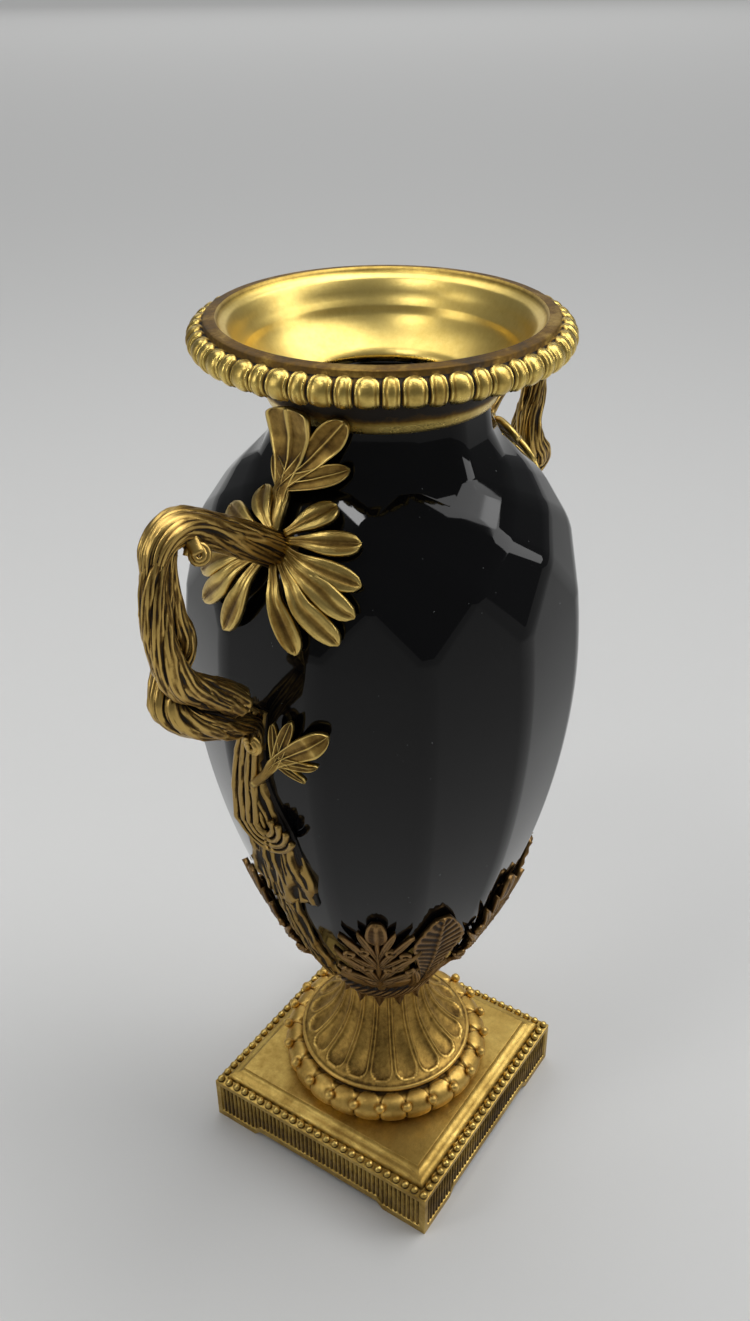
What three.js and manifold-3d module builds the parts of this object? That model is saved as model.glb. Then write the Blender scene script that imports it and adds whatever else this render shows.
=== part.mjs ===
// Faceted black ceramic vase in gilt bronze mounts: square plinth, fluted foot, leaf calyx,
// gadrooned rim and two handles shaped as twisted branches. Millimetres, +Z up, the handles
// along X, the origin at the middle of the underside.
import * as THREE from "three";
import { mergeVertices } from "three/addons/utils/BufferGeometryUtils.js";
import Module from "manifold-3d";

const wasm = await Module();
wasm.setup();

// Clearances
const restGap = 0.3; // between a piece and the one that it stands on
const hugGap = 0.5; // between the ceramic and the mounts that clasp it

// Fineness of the cast branches' facets
const sliverHeight = 0.06;
const shortEdge = 0.4;
const settlePasses = 8;

// Plinth
const plinthSide = 180;
const plinthFaceHeight = 35.5;
const plinthWall = 7;
const bracketRise = 5; // height of the openings between the corner feet
const bracketFoot = 34; // length of each corner foot
const bracketSlope = 5;
const friezeDepth = 1.2;
const friezeBand = 5; // plain band below the sunk frieze
const friezeTopBand = 3.5;
const friezeStile = 4; // plain strip at each corner
const beadDiameter = 5.6;
const beadIntervals = 24;
const beadInset = 3.2; // from the plinth's face to the row of bead centres
const beadSink = 1.1; // bead centres above the ledge
const ledgeWidth = 6.2;
const ledgeRise = 0.01; // drainage fall across the bead ledge
const mouldingHeight = 8.9;
const mouldingWidth = 9.1;
const ovoloShareAcross = 0.45; // the rest of the moulding is a cove
const ovoloShareUp = 0.55;

// Foot
const footHeight = 87.3;
const footBaseRadius = 65;
const torusRadius = 73.4;
const torusHeight = 21.5;
const torusLobes = 24;
const lobeDepth = 3;
const fluteCount = 18;
const fluteDepth = 2.4;
const fluteCrest = 0.4; // share of the depth that stands above the plain trumpet
const fluteRimRise = 4.4; // from the torus up to the flutes' lower ends
const fluteRimRadius = 57; // round lower ends of the flutes
const footNeckRadius = 27.3;

// Calyx
const seatThickness = 7.4; // between the foot and the ceramic
const bandRadius = 40; // at its top
const bandFlare = 7;
const bandHeight = 14.4;
const bandRidges = 32;
const bandRidgeDepth = 2;
const bandSlant = 14; // degrees that the ridges lean between bottom and top
const toothCount = 16;
const toothLength = 10.5;
const toothThickness = 2.6;
const toothFlare = 1.6; // the tips stand this far out from the foot
const leafThickness = 5.4;
const leafEdge = 3.6;
const leafBacking = 2.6; // from the flat-sided ceramic to the leaves' backs
const cupHeight = 22; // plain cup below the leaves, above the ceramic's underside
const calyxHeight = 117; // tips of the leaves above the ceramic's underside

// Ceramic body
const bodySides = 12;
const bodyHeight = 409;
const bodyWall = 6;
const bodyFloor = 9;
const bodyBaseRadius = 30;
const bodyRadius = 116.1; // at the vertical edges, where the body is widest
const bellyHeight = 256; // where the body is widest
const shoulderDepth = 103.5; // from the lip down to the tops of the vertical edges
const shoulderInset = 3.1;
const neckRadius = 58.5;
const mouthRadius = 50;

// Rim
const rimHoleRadius = 49.6;
const collarFoot = 2; // the collar reaches this far past the neck
const collarFlare = 6;
const collarHeight = 12.7;
const bowlDepth = 39.4;
const rimHeight = 43.1;
const innerRidgeRadius = 79.4;
const outerRidgeRadius = 86.3;
const soffitWidth = 9; // underside between the collar and the lobes
const soffitFall = 2;
const soffitDepth = 19.4; // from the rim's top
const gadroonReach = 100.3;
const gadroonHeight = 19;
const gadroonPairs = 28; // one wide and one narrow lobe in each
const gadroonGroove = 3.2;
const wideShare = 0.57;

// Handles
const branchRadius = 8.6;
const strandRadius = 7.2;
const strapThickness = 8;
const sprayLeafWidth = 13;
const sprayDepth = 52; // from the lip down to the root of the large spray
const sprigDepth = 178; // and to the root of the small one
const strapDepth = 143; // from the lip down to the top of the bark strap
const strapFoot = 27.8; // from the ceramic's underside up to the end of the lower strap

// Levels up the vase
const plinthTop = plinthFaceHeight + mouldingHeight;
const footBase = plinthTop + restGap;
const footTop = footBase + footHeight;
const seatBase = footTop + restGap;
const bodyBase = seatBase + seatThickness + restGap;
const lipLevel = bodyBase + bodyHeight;
const rimBase = lipLevel + restGap;

const radians = THREE.MathUtils.degToRad;
const mix = THREE.MathUtils.lerp;

// A point at an azimuth in degrees
function polar(radius, azimuth, z) {
  return new THREE.Vector3(radius * Math.cos(radians(azimuth)), radius * Math.sin(radians(azimuth)), z);
}

// Closed skin over rings of points that all run anticlockwise seen from the end of the path.
// Rings may differ in their number of points. They join end to end in a loop, otherwise each
// end is closed by a fan.
function skin(rings, isLoop = false) {
  const positions = rings.flat().flatMap((p) => [p.x, p.y, p.z]);
  const starts = rings.map((_, row) => rings.slice(0, row).flat().length);
  const indices = [];
  const spans = isLoop ? rings.length : rings.length - 1;
  for (let row = 0; row < spans; row += 1) {
    const above = (row + 1) % rings.length;
    indices.push(...bridge(starts[row], rings[row].length, starts[above], rings[above].length));
  }
  if (!isLoop) {
    closeEnd(0, true);
    closeEnd(rings.length - 1, false);
  }
  function closeEnd(row, isFirst) {
    const ring = rings[row];
    const middle = ring.reduce((sum, p) => sum.add(p), new THREE.Vector3()).divideScalar(ring.length);
    const hub = positions.length / 3;
    positions.push(middle.x, middle.y, middle.z);
    for (let i = 0; i < ring.length; i += 1) {
      const next = (i + 1) % ring.length;
      indices.push(hub, starts[row] + (isFirst ? next : i), starts[row] + (isFirst ? i : next));
    }
  }
  return geometryOf(positions, indices);
}

// Triangles between two rings, stepping along whichever lags behind
function bridge(low, lowCount, high, highCount) {
  const indices = [];
  let i = 0;
  let j = 0;
  while (i < lowCount || j < highCount) {
    const a = low + (i % lowCount);
    const b = high + (j % highCount);
    if ((i + 0.5) / lowCount <= (j + 0.5) / highCount) {
      i += 1;
      indices.push(a, low + (i % lowCount), b);
    } else {
      j += 1;
      indices.push(a, high + (j % highCount), b);
    }
  }
  return indices;
}

function geometryOf(positions, indices) {
  const geometry = new THREE.BufferGeometry();
  geometry.setAttribute("position", new THREE.Float32BufferAttribute(positions, 3));
  geometry.setIndex(indices);
  return geometry;
}

function solidOf(geometry) {
  const bare = geometry.clone();
  bare.deleteAttribute("normal");
  bare.deleteAttribute("uv");
  const merged = mergeVertices(bare, 1e-4);
  return new wasm.Manifold(new wasm.Mesh({
    numProp: 3,
    vertProperties: new Float32Array(merged.attributes.position.array),
    triVerts: new Uint32Array(merged.index.array),
  }));
}

function union(solids) {
  return solids.reduce((sum, solid) => sum.add(solid));
}

// The largest connected body, without slivers and pinholes where strands cross
function mainBody(solid) {
  return solid.decompose().reduce((largest, piece) => (piece.volume() > largest.volume() ? piece : largest));
}

// Closes slivers on a solid: short edges collapse to a point and flat caps swap their long edge
function settled(solid) {
  const { vertProperties, triVerts } = solid.getMesh();
  const points = [];
  for (let i = 0; i < vertProperties.length; i += 3) {
    points.push(new THREE.Vector3(...vertProperties.slice(i, i + 3)));
  }
  let triangles = [];
  for (let i = 0; i < triVerts.length; i += 3) triangles.push(Array.from(triVerts.slice(i, i + 3)));
  for (let pass = 0; pass < settlePasses; pass += 1) triangles = settleOnce(points, triangles);
  return mainBody(solidOf(geometryOf(points.flatMap((p) => [p.x, p.y, p.z]), triangles.flat())));
}

function settleOnce(points, triangles) {
  const linked = points.map(() => new Set());
  triangles.forEach((corners) => corners.forEach((a) => corners.forEach((b) => linked[a].add(b))));
  const busy = new Set();
  const isFree = (corners) => corners.every((corner) => !busy.has(corner));
  const claim = (corners) => corners.forEach((a) => linked[a].forEach((b) => busy.add(b)));
  let current = triangles;
  triangles.forEach((corners) => {
    if (!isFree(corners)) return;
    const edges = corners.map((a, i) => {
      const b = corners[(i + 1) % 3];
      return { a, b, apex: corners[(i + 2) % 3], length: points[a].distanceTo(points[b]) };
    }).sort((one, other) => one.length - other.length);
    const [short, , long] = edges;
    const side = points[long.b].clone().sub(points[long.a]);
    const height = side.cross(points[long.apex].clone().sub(points[long.a])).length() / long.length;
    if (height > sliverHeight) return;
    if (short.length < shortEdge) {
      const shared = [...linked[short.a]].filter((c) => linked[short.b].has(c)).length;
      if (shared !== 4) return;
      claim(corners);
      current = current.map((t) => t.map((c) => (c === short.b ? short.a : c)))
        .filter(([a, b, c]) => a !== b && b !== c && c !== a);
      return;
    }
    const mate = current.find((t) => t !== corners && t.includes(long.a) && t.includes(long.b)
      && !t.includes(long.apex));
    const far = mate?.find((c) => c !== long.a && c !== long.b);
    if (far === undefined || linked[far].has(long.apex) || !isFree(mate)) return;
    claim([...corners, far]);
    current = current.filter((t) => t !== mate && !corners.every((c) => t.includes(c)));
    current.push([long.apex, long.a, far], [long.apex, far, long.b]);
  });
  return current;
}

function meshOf(name, solid, material) {
  const result = solid.getMesh();
  const geometry = geometryOf(Array.from(result.vertProperties), Array.from(result.triVerts));
  geometry.computeVertexNormals();
  const mesh = new THREE.Mesh(geometry, material);
  mesh.name = name;
  return mesh;
}

// Rings around the axis, from a profile that changes with the azimuth
function turned(azimuths, profileAt) {
  const columns = azimuths.map(profileAt);
  return skin(columns[0].map((_, row) => azimuths.map((azimuth, i) => {
    const [radius, z] = columns[i][row];
    return polar(radius, azimuth, z);
  })));
}

function evenAzimuths(count) {
  return Array.from({ length: count }, (_, i) => (i * 360) / count);
}

// Plinth: hollow square base with bracket feet, sunk frieze, bead row and moulded top
function squareRing(halfSide, z) {
  return [[1, 1], [-1, 1], [-1, -1], [1, -1]].map(([x, y]) => (
    new THREE.Vector3(x * halfSide, y * halfSide, z)
  ));
}

// Quarter-round steps of the moulding: shares across and up at each step
function quarterSteps() {
  const steps = 3;
  return Array.from({ length: steps }, (_, i) => {
    const turn = ((i + 1) / steps) * Math.PI / 2;
    return { sine: Math.sin(turn), cosine: Math.cos(turn) };
  });
}

function plinthBlock() {
  const half = plinthSide / 2;
  const ledge = half - ledgeWidth;
  const platform = ledge - mouldingWidth;
  const ovolo = quarterSteps().map(({ sine, cosine }) => [
    ledge - mouldingWidth * ovoloShareAcross * (1 - cosine),
    plinthFaceHeight + mouldingHeight * ovoloShareUp * sine,
  ]);
  const cove = quarterSteps().map(({ sine, cosine }) => [
    platform + mouldingWidth * (1 - ovoloShareAcross) * (1 - sine),
    plinthTop - mouldingHeight * (1 - ovoloShareUp) * cosine,
  ]);
  const profile = [
    [half, 0], [half, plinthFaceHeight], [ledge, plinthFaceHeight + ledgeRise], ...ovolo, ...cove,
  ];
  const block = solidOf(skin(profile.map(([size, z]) => squareRing(size, z))));
  const inside = plinthSide - 2 * plinthWall;
  const hollow = new THREE.BoxGeometry(inside, inside, plinthFaceHeight);
  hollow.translate(0, 0, plinthFaceHeight / 2 - plinthWall);
  return block.subtract(solidOf(hollow));
}

// An outline in a side's face, sunk from outside that face to a depth behind it
function sunk(outline, depth, side) {
  const outside = 1;
  const shape = new THREE.Shape(outline.map(([x, y]) => new THREE.Vector2(x, y)));
  const cut = new THREE.ExtrudeGeometry(shape, { depth: depth + outside, bevelEnabled: false });
  cut.rotateX(Math.PI / 2);
  cut.translate(0, plinthSide / 2 + outside, 0);
  cut.rotateZ((side * Math.PI) / 2);
  return solidOf(cut);
}

function beadRow(side) {
  const half = plinthSide / 2 - beadInset;
  return Array.from({ length: beadIntervals }, (_, i) => {
    const bead = new THREE.ConeGeometry(beadDiameter / 2, beadDiameter, 4);
    bead.rotateX(Math.PI / 2);
    bead.translate(half, mix(-half, half, i / beadIntervals), plinthFaceHeight + beadSink);
    bead.rotateZ((side * Math.PI) / 2);
    return solidOf(bead);
  });
}

function plinthSolid() {
  const sides = [0, 1, 2, 3];
  const gate = plinthSide / 2 - bracketFoot;
  const gateTop = gate - bracketSlope;
  const underside = 1;
  const gateOutline = [
    [-gate, -underside], [gate, -underside], [gate, 0], [gateTop, bracketRise],
    [-gateTop, bracketRise], [-gate, 0],
  ];
  const end = plinthSide / 2 - friezeStile;
  const top = plinthFaceHeight - friezeTopBand;
  const friezeOutline = [
    [-end, friezeBand], [-gate, friezeBand], [-gateTop, bracketRise + friezeBand],
    [gateTop, bracketRise + friezeBand], [gate, friezeBand], [end, friezeBand], [end, top], [-end, top],
  ];
  const cuts = sides.flatMap((side) => [
    sunk(gateOutline, plinthWall + 1, side), sunk(friezeOutline, friezeDepth, side),
  ]);
  return plinthBlock().subtract(union(cuts)).add(union(sides.flatMap(beadRow)));
}

// Foot: lobed torus, then a trumpet with round-ended flutes
function footSolid() {
  const columns = 72;
  const fluteRim = torusHeight + fluteRimRise;
  const torusProfile = [
    [footBaseRadius, 0, 0],
    [torusRadius - 0.6, torusHeight * 0.29, 0.8],
    [torusRadius - 0.6, torusHeight * 0.62, 1],
    [torusRadius - 7, torusHeight * 0.96, 0.8],
    [fluteRimRadius + 2, fluteRim, 0],
  ];
  const fluteProfile = [[0.3, 0.15, 1], [0.64, 0.36, 1], [0.96, 0.66, 0.6], [1, 1, 0.2]];
  const body = turned(evenAzimuths(columns), (azimuth) => {
    const lobe = Math.abs(Math.sin(radians(azimuth * torusLobes / 2))) - 1;
    const flute = fluteCrest - Math.abs(Math.sin(radians(azimuth * fluteCount / 2)));
    const torus = torusProfile.map(([radius, z, carve]) => [
      radius + carve * lobeDepth * lobe, footBase + z,
    ]);
    const trumpet = fluteProfile.map(([inward, up, carve]) => [
      mix(fluteRimRadius, footNeckRadius, inward) + carve * fluteDepth * flute,
      footBase + mix(fluteRim, footHeight, up),
    ]);
    return [...torus, ...trumpet];
  });
  return solidOf(body);
}

// Radius at the vertical edges, up to the shoulder
function bellyRadius(z) {
  const belly = bodyBase + bellyHeight;
  if (z > belly) {
    const rise = (z - belly) / (lipLevel - shoulderDepth - belly);
    return bodyRadius - shoulderInset * rise * rise;
  }
  const drop = Math.min(1, (belly - z) / bellyHeight);
  return mix(bodyBaseRadius, bodyRadius, (1 - drop ** 1.8) ** 0.75);
}

// Level, radius and whether the ring's corners sit on the panels' middles
function bodyRings() {
  const shares = [0, 0.05, 0.11, 0.18, 0.27, 0.38, 0.52, 0.68, 0.85, 1];
  const lower = shares.map((share) => share * bellyHeight);
  const shoulderHeight = bodyHeight - shoulderDepth;
  const upper = [(bellyHeight + shoulderHeight) / 2, shoulderHeight];
  const straight = [...lower, ...upper].map((height) => ({
    z: bodyBase + height, radius: bellyRadius(bodyBase + height), isTurned: false,
  }));
  const shoulderRadius = bodyRadius - shoulderInset;
  const facets = [[70.7, 0.835], [53.1, 0.618], [39.6, 0.387], [28.5, 0.167]];
  const shoulder = facets.map(([depth, share], i) => ({
    z: lipLevel - depth, radius: mix(neckRadius, shoulderRadius, share), isTurned: i % 2 === 0,
  }));
  const neck = [
    { z: lipLevel - 15, radius: neckRadius + 2, isTurned: false },
    { z: lipLevel, radius: neckRadius, isTurned: false },
  ];
  return [...straight, ...shoulder, ...neck];
}

function ringPoints({ z, radius, isTurned }) {
  const step = 360 / bodySides;
  return Array.from({ length: bodySides }, (_, i) => polar(radius, (i + (isTurned ? 1 : 0.5)) * step, z));
}

// The rings moved along the profile's normal, outwards for a positive distance
function offsetRings(rings, distance) {
  return rings.map((ring, i) => {
    const before = rings[Math.max(i - 1, 0)];
    const after = rings[Math.min(i + 1, rings.length - 1)];
    const slope = new THREE.Vector2(after.radius - before.radius, after.z - before.z).normalize();
    return { ...ring, radius: ring.radius + slope.y * distance, z: ring.z - slope.x * distance };
  });
}

// A solid core through the rings, larger than the ceramic by a clearance
function bodyCore(clearance) {
  const rings = offsetRings(bodyRings(), clearance);
  rings[0].z = bodyBase - clearance;
  rings.at(-1).z = lipLevel + clearance;
  return solidOf(skin(rings.map(ringPoints)));
}

function bodySolid() {
  const outer = bodyRings();
  const inner = offsetRings(outer, -bodyWall).filter((ring) => ring.z > bodyBase + bodyFloor * 2);
  inner.unshift({ z: bodyBase + bodyFloor, radius: inner[0].radius * 0.72, isTurned: false });
  inner.at(-1).radius = mouthRadius;
  inner.at(-1).z = lipLevel;
  inner.at(-2).radius = mouthRadius + 1.5;
  const shell = solidOf(skin(outer.map(ringPoints)));
  const cavityRings = [...inner, { z: lipLevel + 1, radius: mouthRadius, isTurned: false }];
  return shell.subtract(solidOf(skin(cavityRings.map(ringPoints))));
}

// Radius of the ceramic, and of the collar above it, towards an azimuth
function skinRadius(azimuth, z) {
  const rings = bodyRings();
  rings.push({ z: rimBase + collarHeight, radius: neckRadius + collarFoot + collarFlare, isTurned: false });
  const above = rings.findIndex((ring) => ring.z > z);
  const upper = rings[above < 0 ? rings.length - 1 : Math.max(above, 1)];
  const lower = rings[rings.indexOf(upper) - 1];
  const share = THREE.MathUtils.clamp((z - lower.z) / (upper.z - lower.z), 0, 1);
  const radius = mix(lower.radius, upper.radius, share);
  const half = 180 / bodySides;
  const offPanel = THREE.MathUtils.euclideanModulo(azimuth + half, 2 * half) - half;
  const flat = z < lipLevel - shoulderDepth ? Math.cos(radians(half)) / Math.cos(radians(offPanel)) : 0.985;
  return radius * flat;
}

// A point above the skin, and the skin's outward normal there
function onSkin(azimuth, z, lift) {
  const base = polar(skinRadius(azimuth, z), azimuth, z);
  const step = 2;
  const rise = skinRadius(azimuth, z + step) - skinRadius(azimuth, z - step);
  const normal = polar(2 * step, azimuth, -rise).normalize();
  return { point: base.addScaledVector(normal, lift), normal };
}

// Calyx: slanted band with hanging teeth, and leaves that clasp the ceramic
const palmette = [
  [-17.5, 0.3, 0.4], [-15, 0.86, 1], [-11.5, 0.66, 0.2], [-8, 0.91, 1], [-4.6, 0.72, 0.2],
  [-1.8, 0.97, 0.8], [0, 1, 1.2], [1.8, 0.97, 0.8], [4.6, 0.72, 0.2], [8, 0.91, 1], [11.5, 0.66, 0.2],
  [15, 0.86, 1], [17.5, 0.3, 0.4],
];
// Leaf outlines: turn from the leaf's middle, height as a share of the calyx, ridge
const ribbedLeaf = [[-12, 0.77, 0.5], [-6, 0.99, 1.2], [-4, 1, 1.3], [7, 0.78, 0.5]];

function calyxOutline() {
  const sector = 60;
  const outline = [];
  for (let k = 0; k < 360 / sector; k += 1) {
    const centre = k * sector + sector / 2;
    palmette.forEach(([turn, top, ridge]) => outline.push([centre + turn, top, ridge]));
    const next = centre + sector / 2;
    const isUnderHandle = next % 180 === 0;
    const between = isUnderHandle ? [[-8, 0.2, 0], [8, 0.2, 0]] : ribbedLeaf;
    between.forEach(([turn, top, ridge]) => outline.push([next + turn, top, ridge]));
  }
  return outline;
}

// Ring of points on the leaves at a share of their height, at a lift above the ceramic
function leafRing(outline, share, liftAt) {
  return outline.map(([azimuth, top, ridge]) => {
    const z = bodyBase + mix(cupHeight, top * calyxHeight, share);
    return onSkin(azimuth, z, liftAt(ridge)).point;
  });
}

function calyxSolid() {
  const outline = calyxOutline();
  const bandFoot = bodyBase + 4 - bandHeight;
  const socketRadius = footNeckRadius + 3 * restGap;
  const plain = evenAzimuths(2 * bodySides);
  const zigzag = (radius) => evenAzimuths(2 * toothCount).map((azimuth, i) => (
    polar(radius + (i % 2) * toothFlare, azimuth, bandFoot - (i % 2) * toothLength)
  ));
  const ridges = (share) => evenAzimuths(2 * bandRidges).map((azimuth, i) => polar(
    bandRadius - (i % 2) * bandRidgeDepth - (1 - share) * bandFlare, azimuth + share * bandSlant,
    bandFoot + share * bandHeight,
  ));
  const cup = (height, lift) => plain.map((azimuth) => onSkin(azimuth, bodyBase + height, lift).point);
  const cover = (ridge) => leafEdge + (leafThickness - leafEdge) * ridge;
  const backing = () => leafBacking;
  return solidOf(skin([
    plain.map((azimuth) => polar(socketRadius, azimuth, seatBase)),
    zigzag(socketRadius),
    zigzag(socketRadius + toothThickness),
    ridges(0),
    ridges(1),
    cup(cupHeight * 0.6, leafThickness),
    leafRing(outline, 0, cover),
    leafRing(outline, 0.38, cover),
    leafRing(outline, 1, () => leafEdge),
    leafRing(outline, 0.98, backing),
    leafRing(outline, 0.38, backing),
    leafRing(outline, 0, backing),
    cup(cupHeight * 0.6, leafBacking),
    plain.map((azimuth) => polar(bodyBaseRadius + leafBacking, azimuth, bodyBase - restGap)),
  ]));
}

// Underside of the rim, from the lip of the ceramic out to the torus
function collarProfile() {
  const collar = neckRadius + collarFoot;
  return [
    [collar, 0], [collar + collarFlare, collarHeight], [collar + collarFlare + 2.5, collarHeight + 5],
    [outerRidgeRadius - soffitWidth, rimHeight - soffitDepth - soffitFall],
    [outerRidgeRadius, rimHeight - soffitDepth],
  ];
}

// A solid that holds the space of the rim's underside and a clearance around it
function collarCore(clearance) {
  const rings = collarProfile().map(([radius, z]) => [radius + clearance, rimBase + z - clearance]);
  const profile = [...rings, [rings.at(-1)[0], rimBase + rimHeight]];
  return solidOf(turned(evenAzimuths(2 * bodySides), () => profile));
}

// Rim: bowl-shaped mouth on a flared collar, with a torus of alternating wide and narrow lobes
function rimSolid() {
  const floor = rimHeight - bowlDepth;
  const ridge = innerRidgeRadius;
  const inside = [
    [outerRidgeRadius, rimHeight], [ridge + 3, rimHeight - 4], [ridge + 0.8, rimHeight - 5],
    [ridge - 3.4, rimHeight - 12.4], [ridge - 8.8, rimHeight - 20.6],
    [ridge - 13.4, floor + 13], [rimHoleRadius + 9, floor + 7], [rimHoleRadius, floor],
  ];
  const plain = evenAzimuths(gadroonPairs);
  const plainRing = ([radius, z]) => plain.map((azimuth) => polar(radius, azimuth, rimBase + z));
  const middle = [outerRidgeRadius + 1, rimHeight - 10.4];
  const section = [-68, -22, 24, 70];
  const pair = 360 / gadroonPairs;
  const lobeRing = (angle) => plain.flatMap((azimuth) => {
    const shares = [0, wideShare / 2, wideShare, (1 + wideShare) / 2];
    return shares.map((share, i) => {
      const carve = i % 2 ? 0 : gadroonGroove;
      const reach = gadroonReach - middle[0] - carve;
      const rise = gadroonHeight / 2 - carve * 0.7;
      return polar(
        middle[0] + reach * Math.cos(radians(angle)), azimuth + share * pair,
        rimBase + middle[1] + rise * Math.sin(radians(angle)),
      );
    });
  });
  return solidOf(skin([
    plainRing([rimHoleRadius, 0]), ...collarProfile().map(plainRing), ...section.map(lobeRing),
    ...inside.map(plainRing),
  ], true));
}

// Handle of twisted branches on the -X side: points give the reach past the belly's edge
// radius, the depth below the lip and the offset sideways
function routePoint([reach, depth, sideways]) {
  return new THREE.Vector3(-(bodyRadius + reach), sideways, lipLevel - depth);
}

const handleAzimuth = 180;

// A route's end on the ceramic: turn from the handle's middle, depth below the lip and lift
function rootPoint([turn, depth, lift]) {
  return onSkin(handleAzimuth + turn, lipLevel - depth, lift).point;
}

const branchRoot = [[0, 66, -8], [0, 55, 4]];
const branchRoute = [
  [3.2, 37, 0], [20.7, 26, 0], [37, 16, 0], [52, 11.5, 0], [63, 17, 0], [67, 31, 0],
];
const outerRoute = [
  [62, 17, -1], [70, 31, -2], [73, 46, -3], [73.5, 58, -4], [70, 72, -5], [62, 85, -6],
  [49, 96, -5], [34, 107, -4], [21, 118, -3],
];
const innerRoute = [
  [56, 20, 2], [58, 36, 3], [55, 54, 4], [49, 68, 5], [48, 80, 5], [56, 90, 5], [62, 100, 4],
  [55, 111, 1], [41, 121, -1], [22, 134, 1],
];
const innerRoot = [[-2.4, 146, 10], [-4.3, 160, 8.6], [-4.8, 172, 8.4]];
// Bark straps down the ceramic: turn from the handle's middle, share of the way down and
// half width
const strapRows = [
  [-4, 0, 9], [-6, 0.103, 10], [-7, 0.189, 10], [-5, 0.292, 14], [-4, 0.395, 19], [-3.5, 0.498, 21],
  [-3, 0.592, 20.5],
];
const stripRows = [
  [-6, 0.532, 10], [-6, 0.669, 8.5], [-6, 0.807, 7.5], [-5.5, 0.927, 6.5], [-4, 1, 5.5],
];
// Leaf tips around their root: sideways, upwards and, where they differ, the leaf's width
const sprayReach = [[26, 17], [42, 4], [43, -12], [41, -24], [35, -38], [18, -46]];
const plumeReach = [[-6, 61, 34], [26, 58, 18], [-42, 57, 18], [27, 38, 13], [-34, 37, 13]];
const sprigReach = [[47, 39, 15], [27, 41, 8], [16, 40, 7], [41, 20, 7], [35, 9, 7]];

function strapLevel(share) {
  return mix(lipLevel - strapDepth, bodyBase + strapFoot, share);
}

function strand(points, radiusAt, steps, sides, twist) {
  const curve = new THREE.CatmullRomCurve3(points);
  const rings = Array.from({ length: steps + 1 }, (_, step) => {
    const t = step / steps;
    const centre = curve.getPointAt(t);
    const tangent = curve.getTangentAt(t);
    const across = new THREE.Vector3(0, 1, 0);
    const up = new THREE.Vector3().crossVectors(tangent, across).normalize();
    across.crossVectors(up, tangent).normalize();
    return Array.from({ length: sides }, (_unused, i) => {
      const turn = (i / sides) * 2 * Math.PI + twist * t;
      const radius = radiusAt(t) * (i % 2 ? 0.88 : 1.06);
      return centre.clone()
        .addScaledVector(across, radius * Math.cos(turn))
        .addScaledVector(up, radius * Math.sin(turn));
    });
  });
  return solidOf(skin(rings));
}

// Ribbon on the ceramic, with a section given as sideways and outward offsets at each station
function ribbon(stations, sectionAt) {
  const path = stations.map(({ turn, z, lift }) => onSkin(handleAzimuth + turn, z, lift));
  const rings = path.map(({ point, normal }, i) => {
    const before = path[Math.max(i - 1, 0)].point;
    const after = path[Math.min(i + 1, path.length - 1)].point;
    const tangent = after.clone().sub(before).normalize();
    const across = new THREE.Vector3().crossVectors(normal, tangent).normalize();
    return sectionAt(i).map(([side, height]) => point.clone()
      .addScaledVector(across, side)
      .addScaledVector(normal, height));
  });
  return solidOf(skin(rings));
}

function strapOf(rows, thickness) {
  const section = [[-1, 0.14], [1, 0.14], [0.8, 0.8], [0.1, 1], [-0.7, 0.8]];
  const stations = rows.map(([turn, share]) => ({ turn, z: strapLevel(share), lift: 0 }));
  return ribbon(stations, (i) => section.map(([side, height]) => [
    side * rows[i][2], height * thickness,
  ]));
}

// Short branch end that curls over the strap
function hookSolid() {
  const middle = { turn: -2, z: strapLevel(0.3) };
  const reach = { turn: 6.6, z: 14 };
  const stations = Array.from({ length: 7 }, (_, i) => {
    const angle = radians(180 + i * 33);
    return {
      turn: middle.turn + reach.turn * Math.cos(angle),
      z: middle.z + reach.z * Math.sin(angle),
      lift: strapThickness * 0.9,
    };
  });
  return ribbon(stations, () => [[-5, -4], [5, -4], [4, 3], [-4, 3]]);
}

// Spray of leaflets around a root on the ceramic, as one solid. A lobe has the sideways and upward
// reach of its tip and its width; the hub is the spray's radius where it has no leaflet.
function spraySolid(rootTurn, rootLevel, rootLift, tipLift, hub, lobes) {
  const sorted = lobes.map(([across, up, width]) => ({
    angle: Math.atan2(up, across), length: Math.hypot(across, up), width,
  })).sort((a, b) => a.angle - b.angle);
  const outline = sorted.flatMap(({ angle, length, width }, i) => {
    const next = sorted[(i + 1) % sorted.length];
    const gap = THREE.MathUtils.euclideanModulo(next.angle - angle, 2 * Math.PI);
    const valley = gap > 1 ? hub : Math.min(length, next.length) * 0.45;
    const shoulder = Math.atan2(width / 2, length * 0.78);
    return [
      [angle - shoulder, length * 0.8, 0], [angle, length, 1], [angle + shoulder, length * 0.8, 0],
      [angle + gap / 2, valley, 0],
    ];
  });
  const ringAt = (share, height) => outline.map(([angle, length, ridge]) => {
    const z = rootLevel + share * length * Math.sin(angle);
    const reach = skinRadius(handleAzimuth, rootLevel);
    const turn = rootTurn + THREE.MathUtils.radToDeg((share * length * Math.cos(angle)) / reach);
    const lift = mix(rootLift, tipLift, share) + Math.sin(share * Math.PI) * 2 + height * (0.6 + ridge);
    return onSkin(handleAzimuth + turn, z, lift).point;
  });
  return solidOf(skin([ringAt(0.2, -3), ringAt(1, 0), ringAt(0.4, 2)]));
}

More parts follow.
